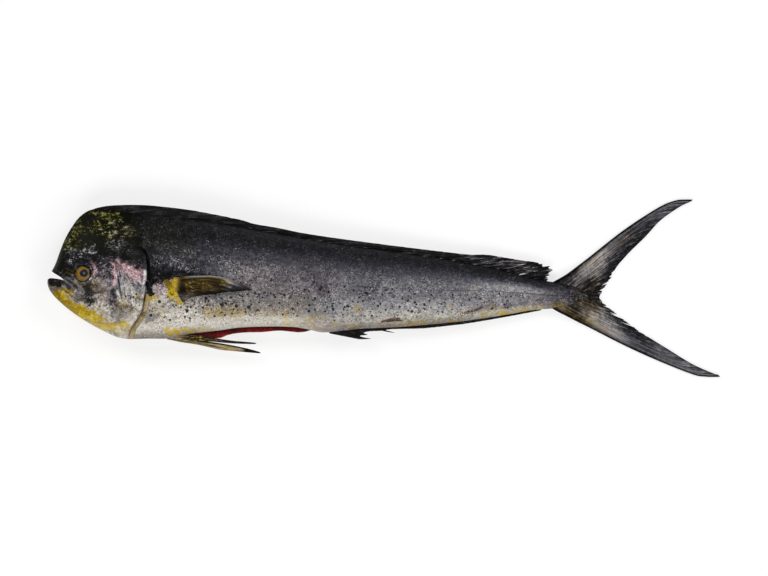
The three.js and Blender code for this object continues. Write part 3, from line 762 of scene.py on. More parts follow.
# Tone of the flank by its level, from the belly (0) to the back (1), in stretches from head to tail.
# Each is (where it starts to take over, how long that takes, curve).
FLANK_TONES = [
    (0, 1, curve([
        (0, 0.44), (0.04, 0.6), (0.08, 0.72), (0.15, 0.71), (0.2, 0.68), (0.27, 0.6), (0.33, 0.6),
        (0.4, 0.53), (0.46, 0.28), (0.5, 0.15), (0.57, 0.18), (0.64, 0.24), (0.72, 0.21), (0.78, 0.165),
        (0.84, 0.14), (1, 0.125),
    ])),
    (195, 65, curve([
        (0, 0.72), (0.04, 0.76), (0.09, 0.74), (0.14, 0.6), (0.2, 0.49), (0.27, 0.46), (0.35, 0.44),
        (0.43, 0.42), (0.5, 0.39), (0.57, 0.38), (0.64, 0.34), (0.7, 0.285), (0.76, 0.235), (0.82, 0.185),
        (0.88, 0.14), (1, 0.14),
    ])),
    (340, 110, curve([
        (0, 0.48), (0.05, 0.54), (0.09, 0.61), (0.14, 0.635), (0.2, 0.6), (0.27, 0.56), (0.35, 0.51),
        (0.43, 0.445), (0.5, 0.435), (0.57, 0.425), (0.64, 0.375), (0.7, 0.315), (0.76, 0.26), (0.82, 0.2),
        (0.88, 0.155), (1, 0.13),
    ])),
    (592, 84, curve([
        (0, 0.6), (0.08, 0.63), (0.14, 0.58), (0.2, 0.48), (0.27, 0.455), (0.35, 0.465), (0.43, 0.455),
        (0.5, 0.46), (0.57, 0.51), (0.64, 0.505), (0.7, 0.38), (0.76, 0.25), (0.82, 0.165), (0.88, 0.145),
        (0.93, 0.13), (1, 0.11),
    ])),
    (712, 55, curve([
        (0, 0.42), (0.1, 0.38), (0.2, 0.34), (0.5, 0.31), (0.65, 0.28), (0.75, 0.21), (0.9, 0.17),
        (1, 0.16),
    ])),
]
# How much the flecks differ from that tone, as stretches of the same kind.
FLANK_CONTRASTS = [
    (0, 1, curve([
        (0, 0.09), (0.1, 0.13), (0.2, 0.17), (0.4, 0.19), (0.5, 0.13), (0.65, 0.13), (0.75, 0.08),
        (1, 0.055),
    ])),
    (250, 110, curve([
        (0, 0.075), (0.1, 0.11), (0.25, 0.125), (0.4, 0.13), (0.55, 0.12), (0.65, 0.09), (0.75, 0.062),
        (0.85, 0.055), (1, 0.05),
    ])),
    (745, 30, curve([(0, 0.12), (1, 0.12)])),
]
# Lighter and darker places of the flank, as (tone added, along, half length, level, half height).
FLANK_SHADES = [(-0.05, 482, 30, 0.5, 0.2), (0.05, 212, 26, 0.13, 0.07), (-0.06, 415, 45, 0.2, 0.16)]
# Where the body darkens between the lobes of the tail, in how many millimetres, and its tone there.
BODY_TIP = (768, 22, 0.19)
# The light band behind the cheek, along the edge of the gill cover.
BAND_LOOKS = {"half": 2.6, "softness": 1.6, "tone": 0.59, "contrast": 0.08, "warmth": 2}
# The forehead's tone and how olive it is, in front and behind.
FOREHEAD_TONES = (0.045, 0.08)
FOREHEAD_OLIVES = (1.0, 0.5)


def by_stretches(stretches, along, level):
    value = 0
    for start, length, levels in stretches:
        value = mix(value, levels(level), rise(along, start, length))
    return value


def flank_tone(along, up, level):
    tone = by_stretches(FLANK_TONES, along, level)
    for added, station, length, middle_level, height in FLANK_SHADES:
        tone = tone + added * bump(along - station, length) * bump(level - middle_level, height)
    start, length, tip = BODY_TIP
    return mix(tone, tip, rise(wavering(along, up)[0], start, length))


def face_tone(along, up):
    """The cheek is darker at the jaw, the chin and the eye, and lighter behind the cheek bone."""
    jaw, chin = 0.05 * fall(along, 75, 15), 0.06 * fall(along, 26, 14)
    beside_eye = rise(up, 0, 15) * rise(along, 60, 15)
    return cheek_tone(up) - jaw - chin + mix(-0.07, 0.05, rise(along, 96, 12)) * beside_eye


def golden_edge(along, up, low):
    """Golden stains along the belly's edge, and a faint line of gold between them."""
    height, width, softness = EDGE_STAIN_RISE, 0.7, 3.4
    stains = []
    for start, end, strength in EDGE_STAINS:
        line = [(x, belly(x) + height) for x in (start, end)]
        stains.append((0.9 * strength, width, softness, line))
    faint = 0.2 * bump(up - low - height, 2) * rise(along, 405, 50) * fall(along, 800, 60)
    return np.maximum(marks(along, up, stains), faint)


def body_ink(along, up, light_lines):
    """Dark blotches and lines, a few of them painted shade, the socket rim's painted shade and the lateral
    line.
    """
    drawn = np.maximum(marks(along, up, INK_AND_SHADE), marks(along, up, LINES, sharp=True)) * (1 - 0.8 * light_lines)
    # A dark ring just outside the eye's socket: painted shade of the gap round the eyeball.
    rim = 0.9 * bump(off_socket(along, up) - 1.2, 1.3)
    groove = 0.4 * bump(up - lateral_line(along), 1.1) * rise(along, 300, 100)
    return np.maximum.reduce([drawn, rim, groove])


def body_warmth(along, level):
    """How brown the greys are: most near the belly, at the chin and at the root of the tail."""
    front, trunk = mix(0.75, 0.15, rise(level, 0.1, 0.45)), mix(0.45, 0.05, rise(level, 0.05, 0.3))
    warmth = mix(front, trunk, rise(along, 370, 60))
    chin, root = 0.9, 0.8
    return mix(mix(warmth, chin, fall(along, 30, 16)), root, rise(along, 770, 20))


def freckles(along, up):
    """1 in the middle of each large freckle, and half on its rim."""
    found = np.full(len(along), -1.0)
    for x, y, size in FRECKLES:
        found = np.maximum(found, 1 - np.hypot(along - x, up - y) / (2 * size))
    return found


def paint_body(target):
    """Stores what the skin's material reads: its tone, and a mask for each colour that lies over it."""
    along, up, z = vertices(target)
    low = belly(along) - np.where(z > middle(along), 0, flap(along))
    level = clamp01((up - low) / (back(along) - low))
    behind = rise(along, gill_edge(np.minimum(up, GILL["top"])), 3)
    head = 1 - behind
    above = rise(up, brow(along) - 4, 8)
    cheek = head * (1 - above)
    rear = rise(along, 85, 50)

    # The glints are painted highlights of the wet skin, added to the forehead's tone.
    lights, glints = marks(along, up, FOREHEAD_LIGHTS), marks(along, up, GLINTS)
    forehead = mix(*FOREHEAD_TONES, rear) + lights + glints
    tone = mix(mix(face_tone(along, up), forehead, above), flank_tone(along, up, level), behind)

    golden = np.maximum(marks(along, up, GOLD), golden_edge(along, up, low))
    cheek_grain = mix(0.11, 0.17, rise(up, -50, 25)) * mix(1, 0.7, fall(along, 60, 12))
    forehead_grain = 0.05 + 0.7 * (lights + glints) + 0.02 * fall(along, 135, 40)
    grain = by_stretches(FLANK_CONTRASTS, along, level)
    contrast = mix(mix(cheek_grain, forehead_grain, above), grain, behind) * (1 - 0.4 * golden)

    patches = mix(*FOREHEAD_OLIVES, rear) * rise(up, brow(along) + 2, 12) * fall(along, 165, 40)
    nape = 0.34 * fall(along, 245, 50) * rise(level, 0.58, 0.15)
    sallow = 0.45 * bump(level - 0.12, 0.12) * rise(along, 430, 60) * fall(along, 720, 50)

    light_lines = marks(along, up, PALE_LINES, sharp=True)
    streaks = marks(along, up, ROSE_STREAKS, sharp=True)
    look = BAND_LOOKS
    band = marks(along, up, [(1, look["half"], look["softness"], BRANCHIAL_BAND)], sharp=True)
    speckle = rise(along, 150, 30) * fall(level, 0.64, 0.15) * rise(level, 0.05, 0.1) * fall(along, 740, 60)
    mottled = mix(0.3, 0.65, rise(along, 390, 60) * fall(level, 0.3, 0.15))
    spread = np.arctan2(along - CHEEK_TOP[0], np.maximum(CHEEK_TOP[1] - up, 1))
    store(
        target,
        across=np.where(cheek > 0.5, 45 * spread, up),
        out=np.where(cheek > 0.5, np.hypot(along - CHEEK_TOP[0], up - CHEEK_TOP[1]), along),
        brushed=mix(mix(0.25, 0.75, head), 0.6, cheek),
        patchy=mix(mix(mottled, 0.9, rise(along, 20, 20) * head), 0.7, cheek),
        tone=mix(tone, look["tone"], band),
        contrast=mix(contrast, look["contrast"], band),
        warmth=mix(body_warmth(along, level), look["warmth"], band),
        olive=np.maximum.reduce([patches * (1 - 5 * glints), sallow, nape]),
        gold=golden,
        rose=np.maximum(marks(along, up, ROSE), streaks),
        pale=np.maximum.reduce([marks(along, up, PALE), light_lines, 0.5 * streaks]),
        ink=body_ink(along, up, light_lines),
        blood=marks(along, up, BLOOD),
        freckle=freckles(along, up),
        speckle=speckle,
    )


# ---- Materials -----------------------------------------------------------------------------------------


def linear(red, green, blue):
    """A colour given as sRGB from 0 to 255."""
    values = [c / 255 for c in (red, green, blue)]
    return (*[c / 12.92 if c <= 0.04045 else ((c + 0.055) / 1.055) ** 2.4 for c in values], 1)


class Shader:
    """A material and short ways to add nodes to it. Values are numbers or the outputs of other nodes."""

    def __init__(self, name, roughness=0.4, coat=0.0, coat_roughness=0.1, specular=0.5):
        self.material = bpy.data.materials.new(name)
        self.material.use_nodes = True
        self.tree = self.material.node_tree
        self.surface = self.tree.nodes["Principled BSDF"]
        self.set("Roughness", roughness)
        self.set("Coat Weight", coat)
        self.set("Coat Roughness", coat_roughness)
        self.set("Specular IOR Level", specular)
        self.place = self.node("ShaderNodeTexCoord").outputs["Object"]

    def link(self, socket, value):
        if isinstance(value, bpy.types.NodeSocket):
            self.tree.links.new(value, socket)
        else:
            socket.default_value = value

    def set(self, name, value):
        self.link(self.surface.inputs[name], value)

    def node(self, kind, inputs=None, **settings):
        made = self.tree.nodes.new(kind)
        for key, value in settings.items():
            setattr(made, key, value)
        for key, value in (inputs or {}).items():
            self.link(made.inputs[key], value)
        return made

    def attribute(self, name):
        made = self.node("ShaderNodeAttribute", attribute_name=name, attribute_type="GEOMETRY")
        return made.outputs["Fac"]

    def maths(self, operation, *values):
        made = self.node("ShaderNodeMath", operation=operation)
        for socket, value in zip(made.inputs, values):
            self.link(socket, value)
        return made.outputs[0]

    def noise(self, size, detail=2.0, vector=None, roughness=0.6, distortion=0.0):
        """Noise round 0 with a spread of about 1. Its features measure about `size` millimetres."""
        inputs = {
            "Vector": vector or self.place, "Scale": 1 / size if vector else 1 / (size * MM),
            "Detail": detail, "Roughness": roughness, "Distortion": distortion,
        }
        made = self.node("ShaderNodeTexNoise", inputs)
        return self.maths("MULTIPLY_ADD", made.outputs["Fac"], NOISE_GAIN, -NOISE_GAIN / 2)

    def cells(self, size):
        """Distance from the middles of scattered cells of about `size` millimetres, as a share of it."""
        inputs = {"Vector": self.place, "Scale": 1 / (size * MM)}
        return self.node("ShaderNodeTexVoronoi", inputs).outputs["Distance"]

    def total(self, *terms):
        """The sum of (value, weight) pairs."""
        result = 0.0
        for value, weight in terms:
            result = self.maths("MULTIPLY_ADD", value, weight, result)
        return result

    def times(self, a, b):
        return self.maths("MULTIPLY", a, b)

    def towards(self, value, target, amount):
        """The value moved towards the target by the amount."""
        return self.maths("MULTIPLY_ADD", self.maths("SUBTRACT", target, value), amount, value)

    def crisp(self, noise, width):
        """The noise with its middle values pushed to either side, so that its patches get clear borders."""
        return self.maths("MULTIPLY_ADD", self.step(noise, -width, width), 2.0, -1.0)

    def step(self, value, low, high):
        """A smooth step from 0 at `low` to 1 at `high`."""
        inputs = {"Value": value, "From Min": low, "From Max": high}
        return self.node("ShaderNodeMapRange", inputs, interpolation_type="SMOOTHSTEP").outputs[0]

    def ramp(self, value, stops):
        made = self.node("ShaderNodeValToRGB", {"Fac": value})
        points = made.color_ramp.elements
        while len(points) < len(stops):
            points.new(1.0)
        for point, (at, colour) in zip(points, stops):
            point.position = at
            point.color = linear(*colour)
        return made.outputs["Color"]

    def over(self, below, colour, amount):
        """The colour laid over what is below it, by the amount."""
        made = self.node("ShaderNodeMix", data_type="RGBA")
        self.link(made.inputs[0], amount)
        self.link(made.inputs[6], below)
        self.link(made.inputs[7], linear(*colour) if isinstance(colour, tuple) else colour)
        return made.outputs[2]

    def bumps(self, *heights):
        """Bumps on the surface from (height, distance in metres, strength) terms."""
        normal = None
        for height, distance, strength in heights:
            inputs = {"Height": height, "Distance": distance, "Strength": strength}
            if normal:
                inputs["Normal"] = normal
            normal = self.node("ShaderNodeBump", inputs).outputs["Normal"]
        self.set("Normal", normal)
        self.set("Coat Normal", normal)


NOISE_GAIN = 8
# Colours of the skin by tone, as (tone, bluish, sallow, brown), and those of its tints.
SKIN_TONES = [
    (0.02, (5, 5, 5), (8, 7, 4), (9, 6, 1)),
    (0.08, (17, 17, 17), (20, 18, 14), (22, 15, 4)),
    (0.13, (30, 30, 34), (34, 31, 26), (35, 26, 9)),
    (0.2, (46, 45, 52), (53, 49, 44), (54, 43, 22)),
    (0.3, (73, 72, 80), (79, 73, 68), (80, 66, 42)),
    (0.4, (101, 100, 104), (107, 100, 93), (110, 92, 56)),
    (0.5, (127, 125, 129), (132, 124, 115), (136, 117, 76)),
    (0.6, (153, 151, 152), (158, 150, 138), (160, 142, 104)),
    (0.7, (179, 176, 174), (184, 176, 162), (184, 168, 136)),
    (0.82, (209, 205, 202), (212, 206, 194), (212, 200, 176)),
    (1.0, (242, 240, 238), (243, 240, 232), (243, 236, 220)),
]
COOL, WARM, BROWN = ([(row[0], row[column]) for row in SKIN_TONES] for column in (1, 2, 3))
OLIVE = [
    (0.02, (5, 5, 0)), (0.08, (13, 13, 0)), (0.13, (24, 24, 1)), (0.2, (46, 45, 6)), (0.3, (81, 79, 24)),
    (0.4, (110, 109, 52)), (0.6, (155, 155, 136)), (0.82, (210, 210, 198)), (1.0, (243, 243, 236)),
]
ROSE_TONES = [
    (0.02, (9, 6, 6)), (0.13, (39, 29, 29)), (0.3, (89, 68, 70)), (0.5, (147, 116, 120)),
    (0.65, (188, 153, 158)), (0.8, (220, 193, 197)), (1.0, (246, 232, 234)),
]
GOLDEN = [
    (0.02, (9, 7, 1)), (0.13, (38, 30, 4)), (0.3, (86, 70, 9)), (0.45, (132, 108, 10)),
    (0.6, (172, 144, 22)), (0.72, (196, 170, 56)), (0.85, (216, 200, 128)), (1.0, (245, 238, 214)),
]
BLOOD_TONES = [(0.02, (12, 4, 4)), (0.3, (94, 60, 58)), (0.6, (172, 136, 130)), (1.0, (245, 232, 228))]
INK_AND_SHADE_TONE = 0.045
PALE_TONE = 0.76
# Below this tone the flecks are mostly light, and above it mostly dark.
MIDDLE_TONE = 0.48


def pigmented(shader, blotch, change):
    """The skin's colour. Ink, painted shade and pale marks shift its tone, then the noise is laid on it,
    then the tints.

    Flecks of the noise are light on dark skin, partly as painted glints of wet skin, and dark on light skin.
    """

    def cover(name, low, high):
        mask = shader.attribute(name)
        amount = shader.step(shader.total((blotch, 0.15), (mask, 1.0)), low, high)
        return shader.times(amount, shader.step(mask, 0.0, 0.15))

    ink, pale = cover("ink", 0.1, 0.9), cover("pale", 0.1, 0.9)
    tone = shader.towards(shader.attribute("tone"), PALE_TONE, shader.times(pale, 0.85))
    tone = shader.towards(tone, INK_AND_SHADE_TONE, shader.times(ink, 0.95))
    skew = shader.maths("MULTIPLY_ADD", tone, -1.0, MIDDLE_TONE)
    squared = shader.maths("MULTIPLY_ADD", change, change, -1.0)
    change = shader.maths("MULTIPLY_ADD", skew, squared, change)
    contrast = shader.times(shader.attribute("contrast"), shader.maths("MULTIPLY_ADD", ink, -0.25, 1.0))
    tone = shader.maths("MULTIPLY_ADD", change, contrast, tone)
    small, large = shader.noise(9, 3), shader.noise(30, 3)
    warmth = shader.total((shader.attribute("warmth"), 1.0), (small, 0.16), (large, 0.1))
    colour = shader.over(shader.ramp(tone, COOL), shader.ramp(tone, WARM), shader.step(warmth, 0, 1))
    colour = shader.over(colour, shader.ramp(tone, BROWN), shader.step(warmth, 1, 2))
    for name, tones in (("olive", OLIVE), ("rose", ROSE_TONES), ("gold", GOLDEN), ("blood", BLOOD_TONES)):
        colour = shader.over(colour, shader.ramp(tone, tones), cover(name, 0.1, 1.0))
    return colour


WET_SKIN = {"coat": 0.01, "coat_roughness": 0.2, "specular": 0.07}
# Scattered freckles, as (size of the cell that each lies in, its radius as a share of that, darkness).
SMALL_FRECKLES = ((12, 0.18, 1.0), (8.5, 0.2, 1.0), (6.5, 0.2, 0.9))
FRECKLE_COLOUR = (18, 18, 22)


def skin_material():
    shader = Shader("skin", **WET_SKIN)
    across = shader.times(shader.attribute("across"), 0.5)
    out = shader.times(shader.attribute("out"), 0.1)
    flow = shader.node("ShaderNodeCombineXYZ", {"X": across, "Y": out}).outputs[0]
    wide_flow = shader.node("ShaderNodeMapping", {"Vector": flow, "Scale": (0.42, 0.5, 1)}).outputs[0]
    brushed = shader.attribute("brushed")
    grain = shader.noise(2, 2)
    fine = shader.noise(4.6, 4, roughness=0.7)
    broad = shader.noise(26, 3)
    busy = shader.step(shader.noise(17, 3), -1.3, 1.0)
    patches = shader.crisp(shader.noise(11, 4, roughness=0.7, distortion=0.8), 1.0)
    streak = shader.times(shader.crisp(shader.noise(1.0, 3, vector=flow, distortion=0.6), 1.2), brushed)
    strokes = shader.noise(1.0, 3, vector=wide_flow, distortion=0.8)
    strokes = shader.times(shader.crisp(strokes, 1.0), brushed)
    busy = shader.times(busy, shader.maths("MULTIPLY_ADD", brushed, -0.65, 1.15))
    smears = shader.noise(7, 4, roughness=0.75, distortion=1.6)
    patches = shader.times(patches, shader.attribute("patchy"))
    change = shader.total(
        (shader.times(grain, busy), 1.25), (fine, 0.5), (streak, 0.75), (strokes, 0.45),
        (shader.crisp(smears, 0.8), 0.4), (patches, 0.9),
    )
    blotch = shader.total((fine, 0.45), (smears, 0.6), (streak, 0.6))
    colour = pigmented(shader, blotch, change)
    wobble = shader.total((fine, 0.04), (grain, 0.03))
    freckle = shader.step(shader.maths("ADD", shader.attribute("freckle"), wobble), 0.44, 0.54)
    density = shader.attribute("speckle")
    for size, radius, darkness in SMALL_FRECKLES:
        reach = shader.total((density, radius), (wobble, 0.4))
        dots = shader.step(shader.maths("SUBTRACT", reach, shader.cells(size)), 0, 0.04)
        dots = shader.times(dots, shader.step(density, 0.1, 0.4))
        freckle = shader.maths("MAXIMUM", freckle, shader.times(dots, darkness))
    colour = shader.over(colour, FRECKLE_COLOUR, shader.times(freckle, 0.93))
    shader.set("Base Color", colour)
    shader.set("Roughness", shader.total((fine, 0.03), (broad, 0.02), (0.48, 1.0)))
    shader.bumps((shader.cells(1.5), 0.0003, 0.3), (fine, 0.00008, 0.6))
    return shader.material


def fin_material():
    shader = Shader("fin", **WET_SKIN)
    flow = {"X": shader.attribute("across"), "Y": shader.attribute("out")}
    lines = shader.node("ShaderNodeCombineXYZ", flow).outputs[0]
    streak = shader.noise(1.0, 3, vector=lines)
    grain = shader.noise(2.3, 2)
    fine = shader.noise(4.6, 4, roughness=0.7)
    mid = shader.noise(9, 3)
    wide = shader.node("ShaderNodeMapping", {"Vector": lines, "Scale": (0.3, 0.8, 1)}).outputs[0]
    bands = shader.crisp(shader.noise(1.0, 3, vector=wide), 1.2)
    change = shader.total((streak, 1.0), (bands, 0.5), (grain, 0.15), (fine, 0.25), (mid, 0.3))
    blotch = shader.total((streak, 0.9), (fine, 0.3), (mid, 0.4))
    shader.set("Base Color", pigmented(shader, blotch, change))
    shader.set("Roughness", shader.total((fine, 0.03), (streak, 0.02), (0.5, 1.0)))
    shader.bumps((streak, 0.0001, 0.6), (grain, 0.00005, 0.4))
    return shader.material


def flesh_material(name, dark, bright, pale):
    shader = Shader(name, coat=0.04, coat_roughness=0.15, specular=0.12)
    fine = shader.noise(2.2, 3)
    broad = shader.noise(11, 3)
    # Darker where `out` is low; in the belly's lining that is a painted shadow under the edge of the left
    # flap.
    value = shader.total((fine, 0.1), (broad, 0.12), (shader.attribute("out"), 0.5), (0.2, 1.0))
    shader.set("Base Color", shader.ramp(value, [(0.1, dark), (0.55, bright), (0.95, pale)]))
    shader.set("Roughness", shader.total((fine, 0.04), (0.3, 1.0)))
    shader.bumps((fine, 0.0002, 0.6))
    return shader.material


def eye_material():
    shader = Shader("eye", roughness=0.35, coat=0.05, coat_roughness=0.1, specular=0.1)
    fine = shader.noise(1.5, 3)
    off = shader.total((shader.attribute("off"), 1.0), (fine, 0.012))
    # The light blue middle of the pupil is partly the clouded lens and partly a painted highlight.
    shader.set("Base Color", shader.ramp(off, [
        (0.0, (112, 126, 150)), (0.12, (62, 70, 94)), (0.24, (26, 30, 46)), (0.46, (16, 16, 22)),
        (0.52, (72, 55, 14)), (0.62, (140, 106, 32)), (0.8, (128, 96, 34)), (0.92, (142, 100, 40)),
        (0.99, (60, 44, 20)),
    ]))
    shader.bumps((fine, 0.00004, 0.3))
    return shader.material


# ---- Pieces --------------------------------------------------------------------------------------------

skin = skin_material()
fins_skin = fin_material()
gape = flesh_material("mouth", (20, 14, 14), (70, 40, 40), (120, 80, 76))
flesh = flesh_material("flesh", (26, 3, 3), (92, 12, 12), (168, 32, 30))


def finished(target, material):
    sharp_from = math.radians(50)
    if not target.data.materials:
        target.data.materials.append(material)
    target.data.shade_smooth()
    target.data.set_sharp_from_angle(angle=sharp_from)
    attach(target, "root")
    return target


def make_body():
    """The head and the trunk meet under the edge of the gill cover, where the trunk dips under the head."""
    seam, overlap, dip = GILL["station"] + 2, 4, 0.4
    head_stations = spaced((0,), (12, 0.7), (130, 0.9), (GILL["station"] - 0.3, 0.7), (seam, 0.4))
    trunk_stations = spaced((seam - overlap,), (seam + 1, 1.0), (170, 0.9), (400, 1.7), (BODY_END, 2.6))
    head = body_shell("body_head", head_stations, rows=180)
    trunk = body_shell("body_trunk", trunk_stations, rows=130, sink=lambda at: dip * fall(at, seam, 2))
    sockets = [eyeball(f"socket_{side}", side, play=EYE["play"]) for side in (1, -1)]
    mouth = mouth_cutters()
    pocket = belly_pocket("pocket", deep=20, low=-1, high=2.2, steps=60, rows=8, overhang=6)
    for material, pieces in ((skin, [head, trunk]), (gape, mouth + sockets), (flesh, [pocket])):
        for piece in pieces:
            piece.data.materials.append(material)
    carve(head, mouth + sockets)
    carve(trunk, [pocket])
    for piece in (head, trunk):
        paint_body(piece)
        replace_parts(finished(piece, skin), "fish")


def paint_fin(target, tone, contrast, warmth, marked=None, **masks):
    """Stores what a fin's material reads. `marked` has the marks of each mask, and `masks` whole ones."""
    along, up, _ = vertices(target)
    values = {"tone": tone, "contrast": contrast, "warmth": warmth, **masks}
    for name, items in (marked or {}).items():
        values[name] = np.maximum(marks(along, up, items, sharp=name == "ink"), values.get(name, 0))
    for name, value in values.items():
        store(target, **{name: np.broadcast_to(value, along.shape)})
    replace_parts(finished(target, fins_skin), "fish")


# Tone of a tail lobe from its leading edge (0) to its rear edge (1).
lobe_tone = curve([
    (0, 0.07), (0.04, 0.12), (0.1, 0.38), (0.22, 0.44), (0.38, 0.39), (0.55, 0.28), (0.75, 0.2), (1, 0.12),
])
TAIL_MARKS = {
    "gold": [
        (0.48, 2, 9, [(765, -35), (785, -42), (804, -50)]), (0.36, 3, 10, [(846, 68), (868, 80)]),
        (0.32, 4, 14, [(800, -2), (820, 8)]), (0.3, 4, 12, [(790, -20), (812, -24)]),
    ],
    "rose": [(0.25, 5, 12, [(798, 28), (820, 44), (846, 56)]), (0.5, 1, 4, [(822, -62), (840, -70)])],
    "pale": [
        (0.34, 4, 10, [(792, 23), (806, 32), (824, 44)]),
        (0.34, 4, 9, [(810, -38), (822, -45), (842, -57)]),
    ],
    "ink": [
        (0.4, 4, 12, [(806, -6), (824, -6)]), (0.34, 3, 9, [(838, 60), (852, 68)]),
        (0.26, 3, 9, [(808, -56), (840, -71), (872, -87)]),
    ],
}
# The height between the lobes.
FORK_LEVEL = -16
# The lobes, as (name, form, the share across its rays from which it is torn, seed of its tears).
LOBES = [("upper", UPPER_LOBE, 0.66, 3), ("lower", LOWER_LOBE, 0.52, 4)]


def tail_level(along, up, out):
    """The tail lies flat, just above the surface."""
    lowest = 1.3
    return np.maximum(middle(along), lowest)


def tail_tone(along, up, front, rear):
    """Light behind the leading edge, darker towards the tips, and darkest at the root and on the rims."""
    upper = np.where(up > FORK_LEVEL, 1, 0)
    near, far = mix(1.5, 1.3, upper), mix(0.78, 0.7, upper)
    tone = lobe_tone(front / (front + rear + 0.1)) * mix(near, far, rise(along, mix(838, 825, upper), 45))
    moved = wavering(along, up)[0]
    dip = 1 - 0.6 * bump(moved - 784 + 0.4 * (up + 35), 15)
    tone = tone * mix(dip, mix(0.5, 1, rise(moved, 774, 26)), upper)
    tone = mix(tone, mix(0.39, 0.34, upper), 0.75 * rise(along, 880, 40))
    tone = mix(0.14, tone, beyond(along, up, 811, -5, 0.8, 9, 17))
    return mix(0.07, tone, rise(front, 0.8, 2) * mix(0.6, 1, rise(rear, 0.5, 3)))


def make_tail():
    for name, lobe, first, seed in LOBES:
        made = fin(
            f"fin_tail_{name}", fan(**lobe), tail_level, rays=34, steps=110, root=4.4, tip=0.7, web=0.75,
            seed=seed, streaks=(50, 3.5), rare=4,
            torn=lambda across, first=first: 0.26 * rise(across, first, 0.25) * fall(across, 1, 0.1),
        )
        along, up, _ = vertices(made)
        front = gap_to(along, up, [*lobe["lead"], lobe["tip"]])
        rear = gap_to(along, up, [lobe["tip"], *lobe["trail"]])
        tone = tail_tone(along, up, front, rear)
        root_warmth = mix(0.8, 0.1, np.where(up > FORK_LEVEL, 1, 0))
        warmth = 0.15 + 0.2 * fall(along, 880, 60) + root_warmth * fall(along, 840, 40)
        contrast = mix(0.15, 0.1, rise(along, 850, 60))
        paint_fin(made, tone, contrast, warmth, marked=TAIL_MARKS)


def midline_level(along, up, out):
    """The fins on the back and below lie in the fish's middle plane and sag by 1 mm."""
    return middle(along) - out


# Light lines along the folded rays of the fin on the back, partly painted highlights on the rays, and specks
# of dry skin at its base.
DORSAL_LINES = [
    [(612, 50.5), (640, 49)], [(618, 46.5), (642, 46)], [(628, 44), (655, 44.5)], [(640, 41), (668, 42.5)],
    [(650, 37), (676, 39)], [(655, 47.5), (684, 44.5)], [(664, 33), (690, 36)], [(672, 40.5), (704, 39.5)],
    [(680, 29.5), (704, 33)], [(690, 35), (716, 35.5)], [(694, 26), (712, 29)], [(698, 22.5), (716, 20)],
    [(706, 31), (728, 31.5)], [(712, 25.5), (734, 26)],
]
DORSAL_SPECKS = (300, 338, 372, 405, 441, 470, 506, 538, 570, 583, 601, 619, 634, 648, 657, 668, 683, 701)


def make_dorsal():
    start, end, sunk, lean, crowding = 68, 738, 3, 0.12, 1.5
    ray = folded(
        start, end, lambda along: back(along) - sunk, DORSAL_EDGE, lean, lambda a: 1 - (1 - a) ** crowding,
    )
    made = fin(
        "fin_dorsal", ray, midline_level, rays=60, steps=16, root=2.4, tip=0.8, streaks=(110, 1.6),
        torn=lambda across: 0.03 + 0.27 * rise(across, 0.78, 0.06), seed=5,
    )
    along, up, _ = vertices(made)
    raised = rise(along, 600, 80)
    speck_length = 3
    specks = [[(x, float(back(x)) + 1), (x + speck_length, float(back(x)) + 1)] for x in DORSAL_SPECKS]
    pale = [(0.5, 0.4, 1.2, line) for line in specks] + [(0.42, 0.3, 1.2, line) for line in DORSAL_LINES]
    tone = 0.12 + 0.02 * raised + 0.06 * bump(along - 450, 24)
    light = marks(along, up, pale, sharp=True)
    paint_fin(made, tone, contrast=0.07 + 0.08 * raised, warmth=0.3, pale=light)


def make_anal():
    start, end, sunk, lean, crowding = 414, 731, 3, 0.1, 1.33
    ray = folded(
        start, end, lambda along: belly(along) + sunk, ANAL_EDGE, lean, lambda a: a**crowding,
    )
    # The fin and its torn strands, as (name, rays' places, number of rays, number of streaks).
    shapes = [("fin_anal", ray, 40, 60)]
    shapes += [(f"fin_anal_strand_{i}", fan(**strand), 2, 3) for i, strand in enumerate(ANAL_STRANDS, 1)]
    for name, ray, rays, streaks in shapes:
        made = fin(
            name, ray, midline_level, rays=rays, steps=14, root=2, tip=0.7, streaks=(streaks, 1.6),
            torn=lambda across: 0.04 + 0 * across, seed=6,
        )
        along, up, _ = vertices(made)
        gold = 0.5 * rise(up, belly(along) - 1, 2)
        paint_fin(made, tone=0.1, contrast=0.06, warmth=0.7, gold=gold)


PECTORAL_MARKS = {
    "gold": [
        (0.45, 4, 8, [(232, 10), (262, 8)]), (0.6, 1.5, 4, [(188, 12), (206, 14)]),
    ],
    "pale": [
        (0.5, 0.5, 1.6, [(204, 3), (222, 1), (236, -1)]), (0.45, 0.5, 1.6, [(208, 8), (226, 7), (244, 4)]),
        (0.4, 0.5, 1.6, [(206, -4), (222, -4)]), (0.4, 2, 4, [(262, 8), (282, 3)]),
    ],
    "ink": [
        (0.8, 0.8, 3, [(233, -9), (262, -5.5), (292, -3), (304, -3)]),
        (0.4, 2, 6, [(197, 5), (204, -6)]),
    ],
}


def laid_level(along, up, out):
    """The left pectoral fin grows out of the flank and rises a little towards its tip."""
    return flank(along, up) + mix(-2.5, 2, smooth(out / 0.3)) + 1.9 * out


def pressed_level(along, up, out):
    """The right pectoral fin is pressed flat under the fish."""
    return 1.6 + 0 * along


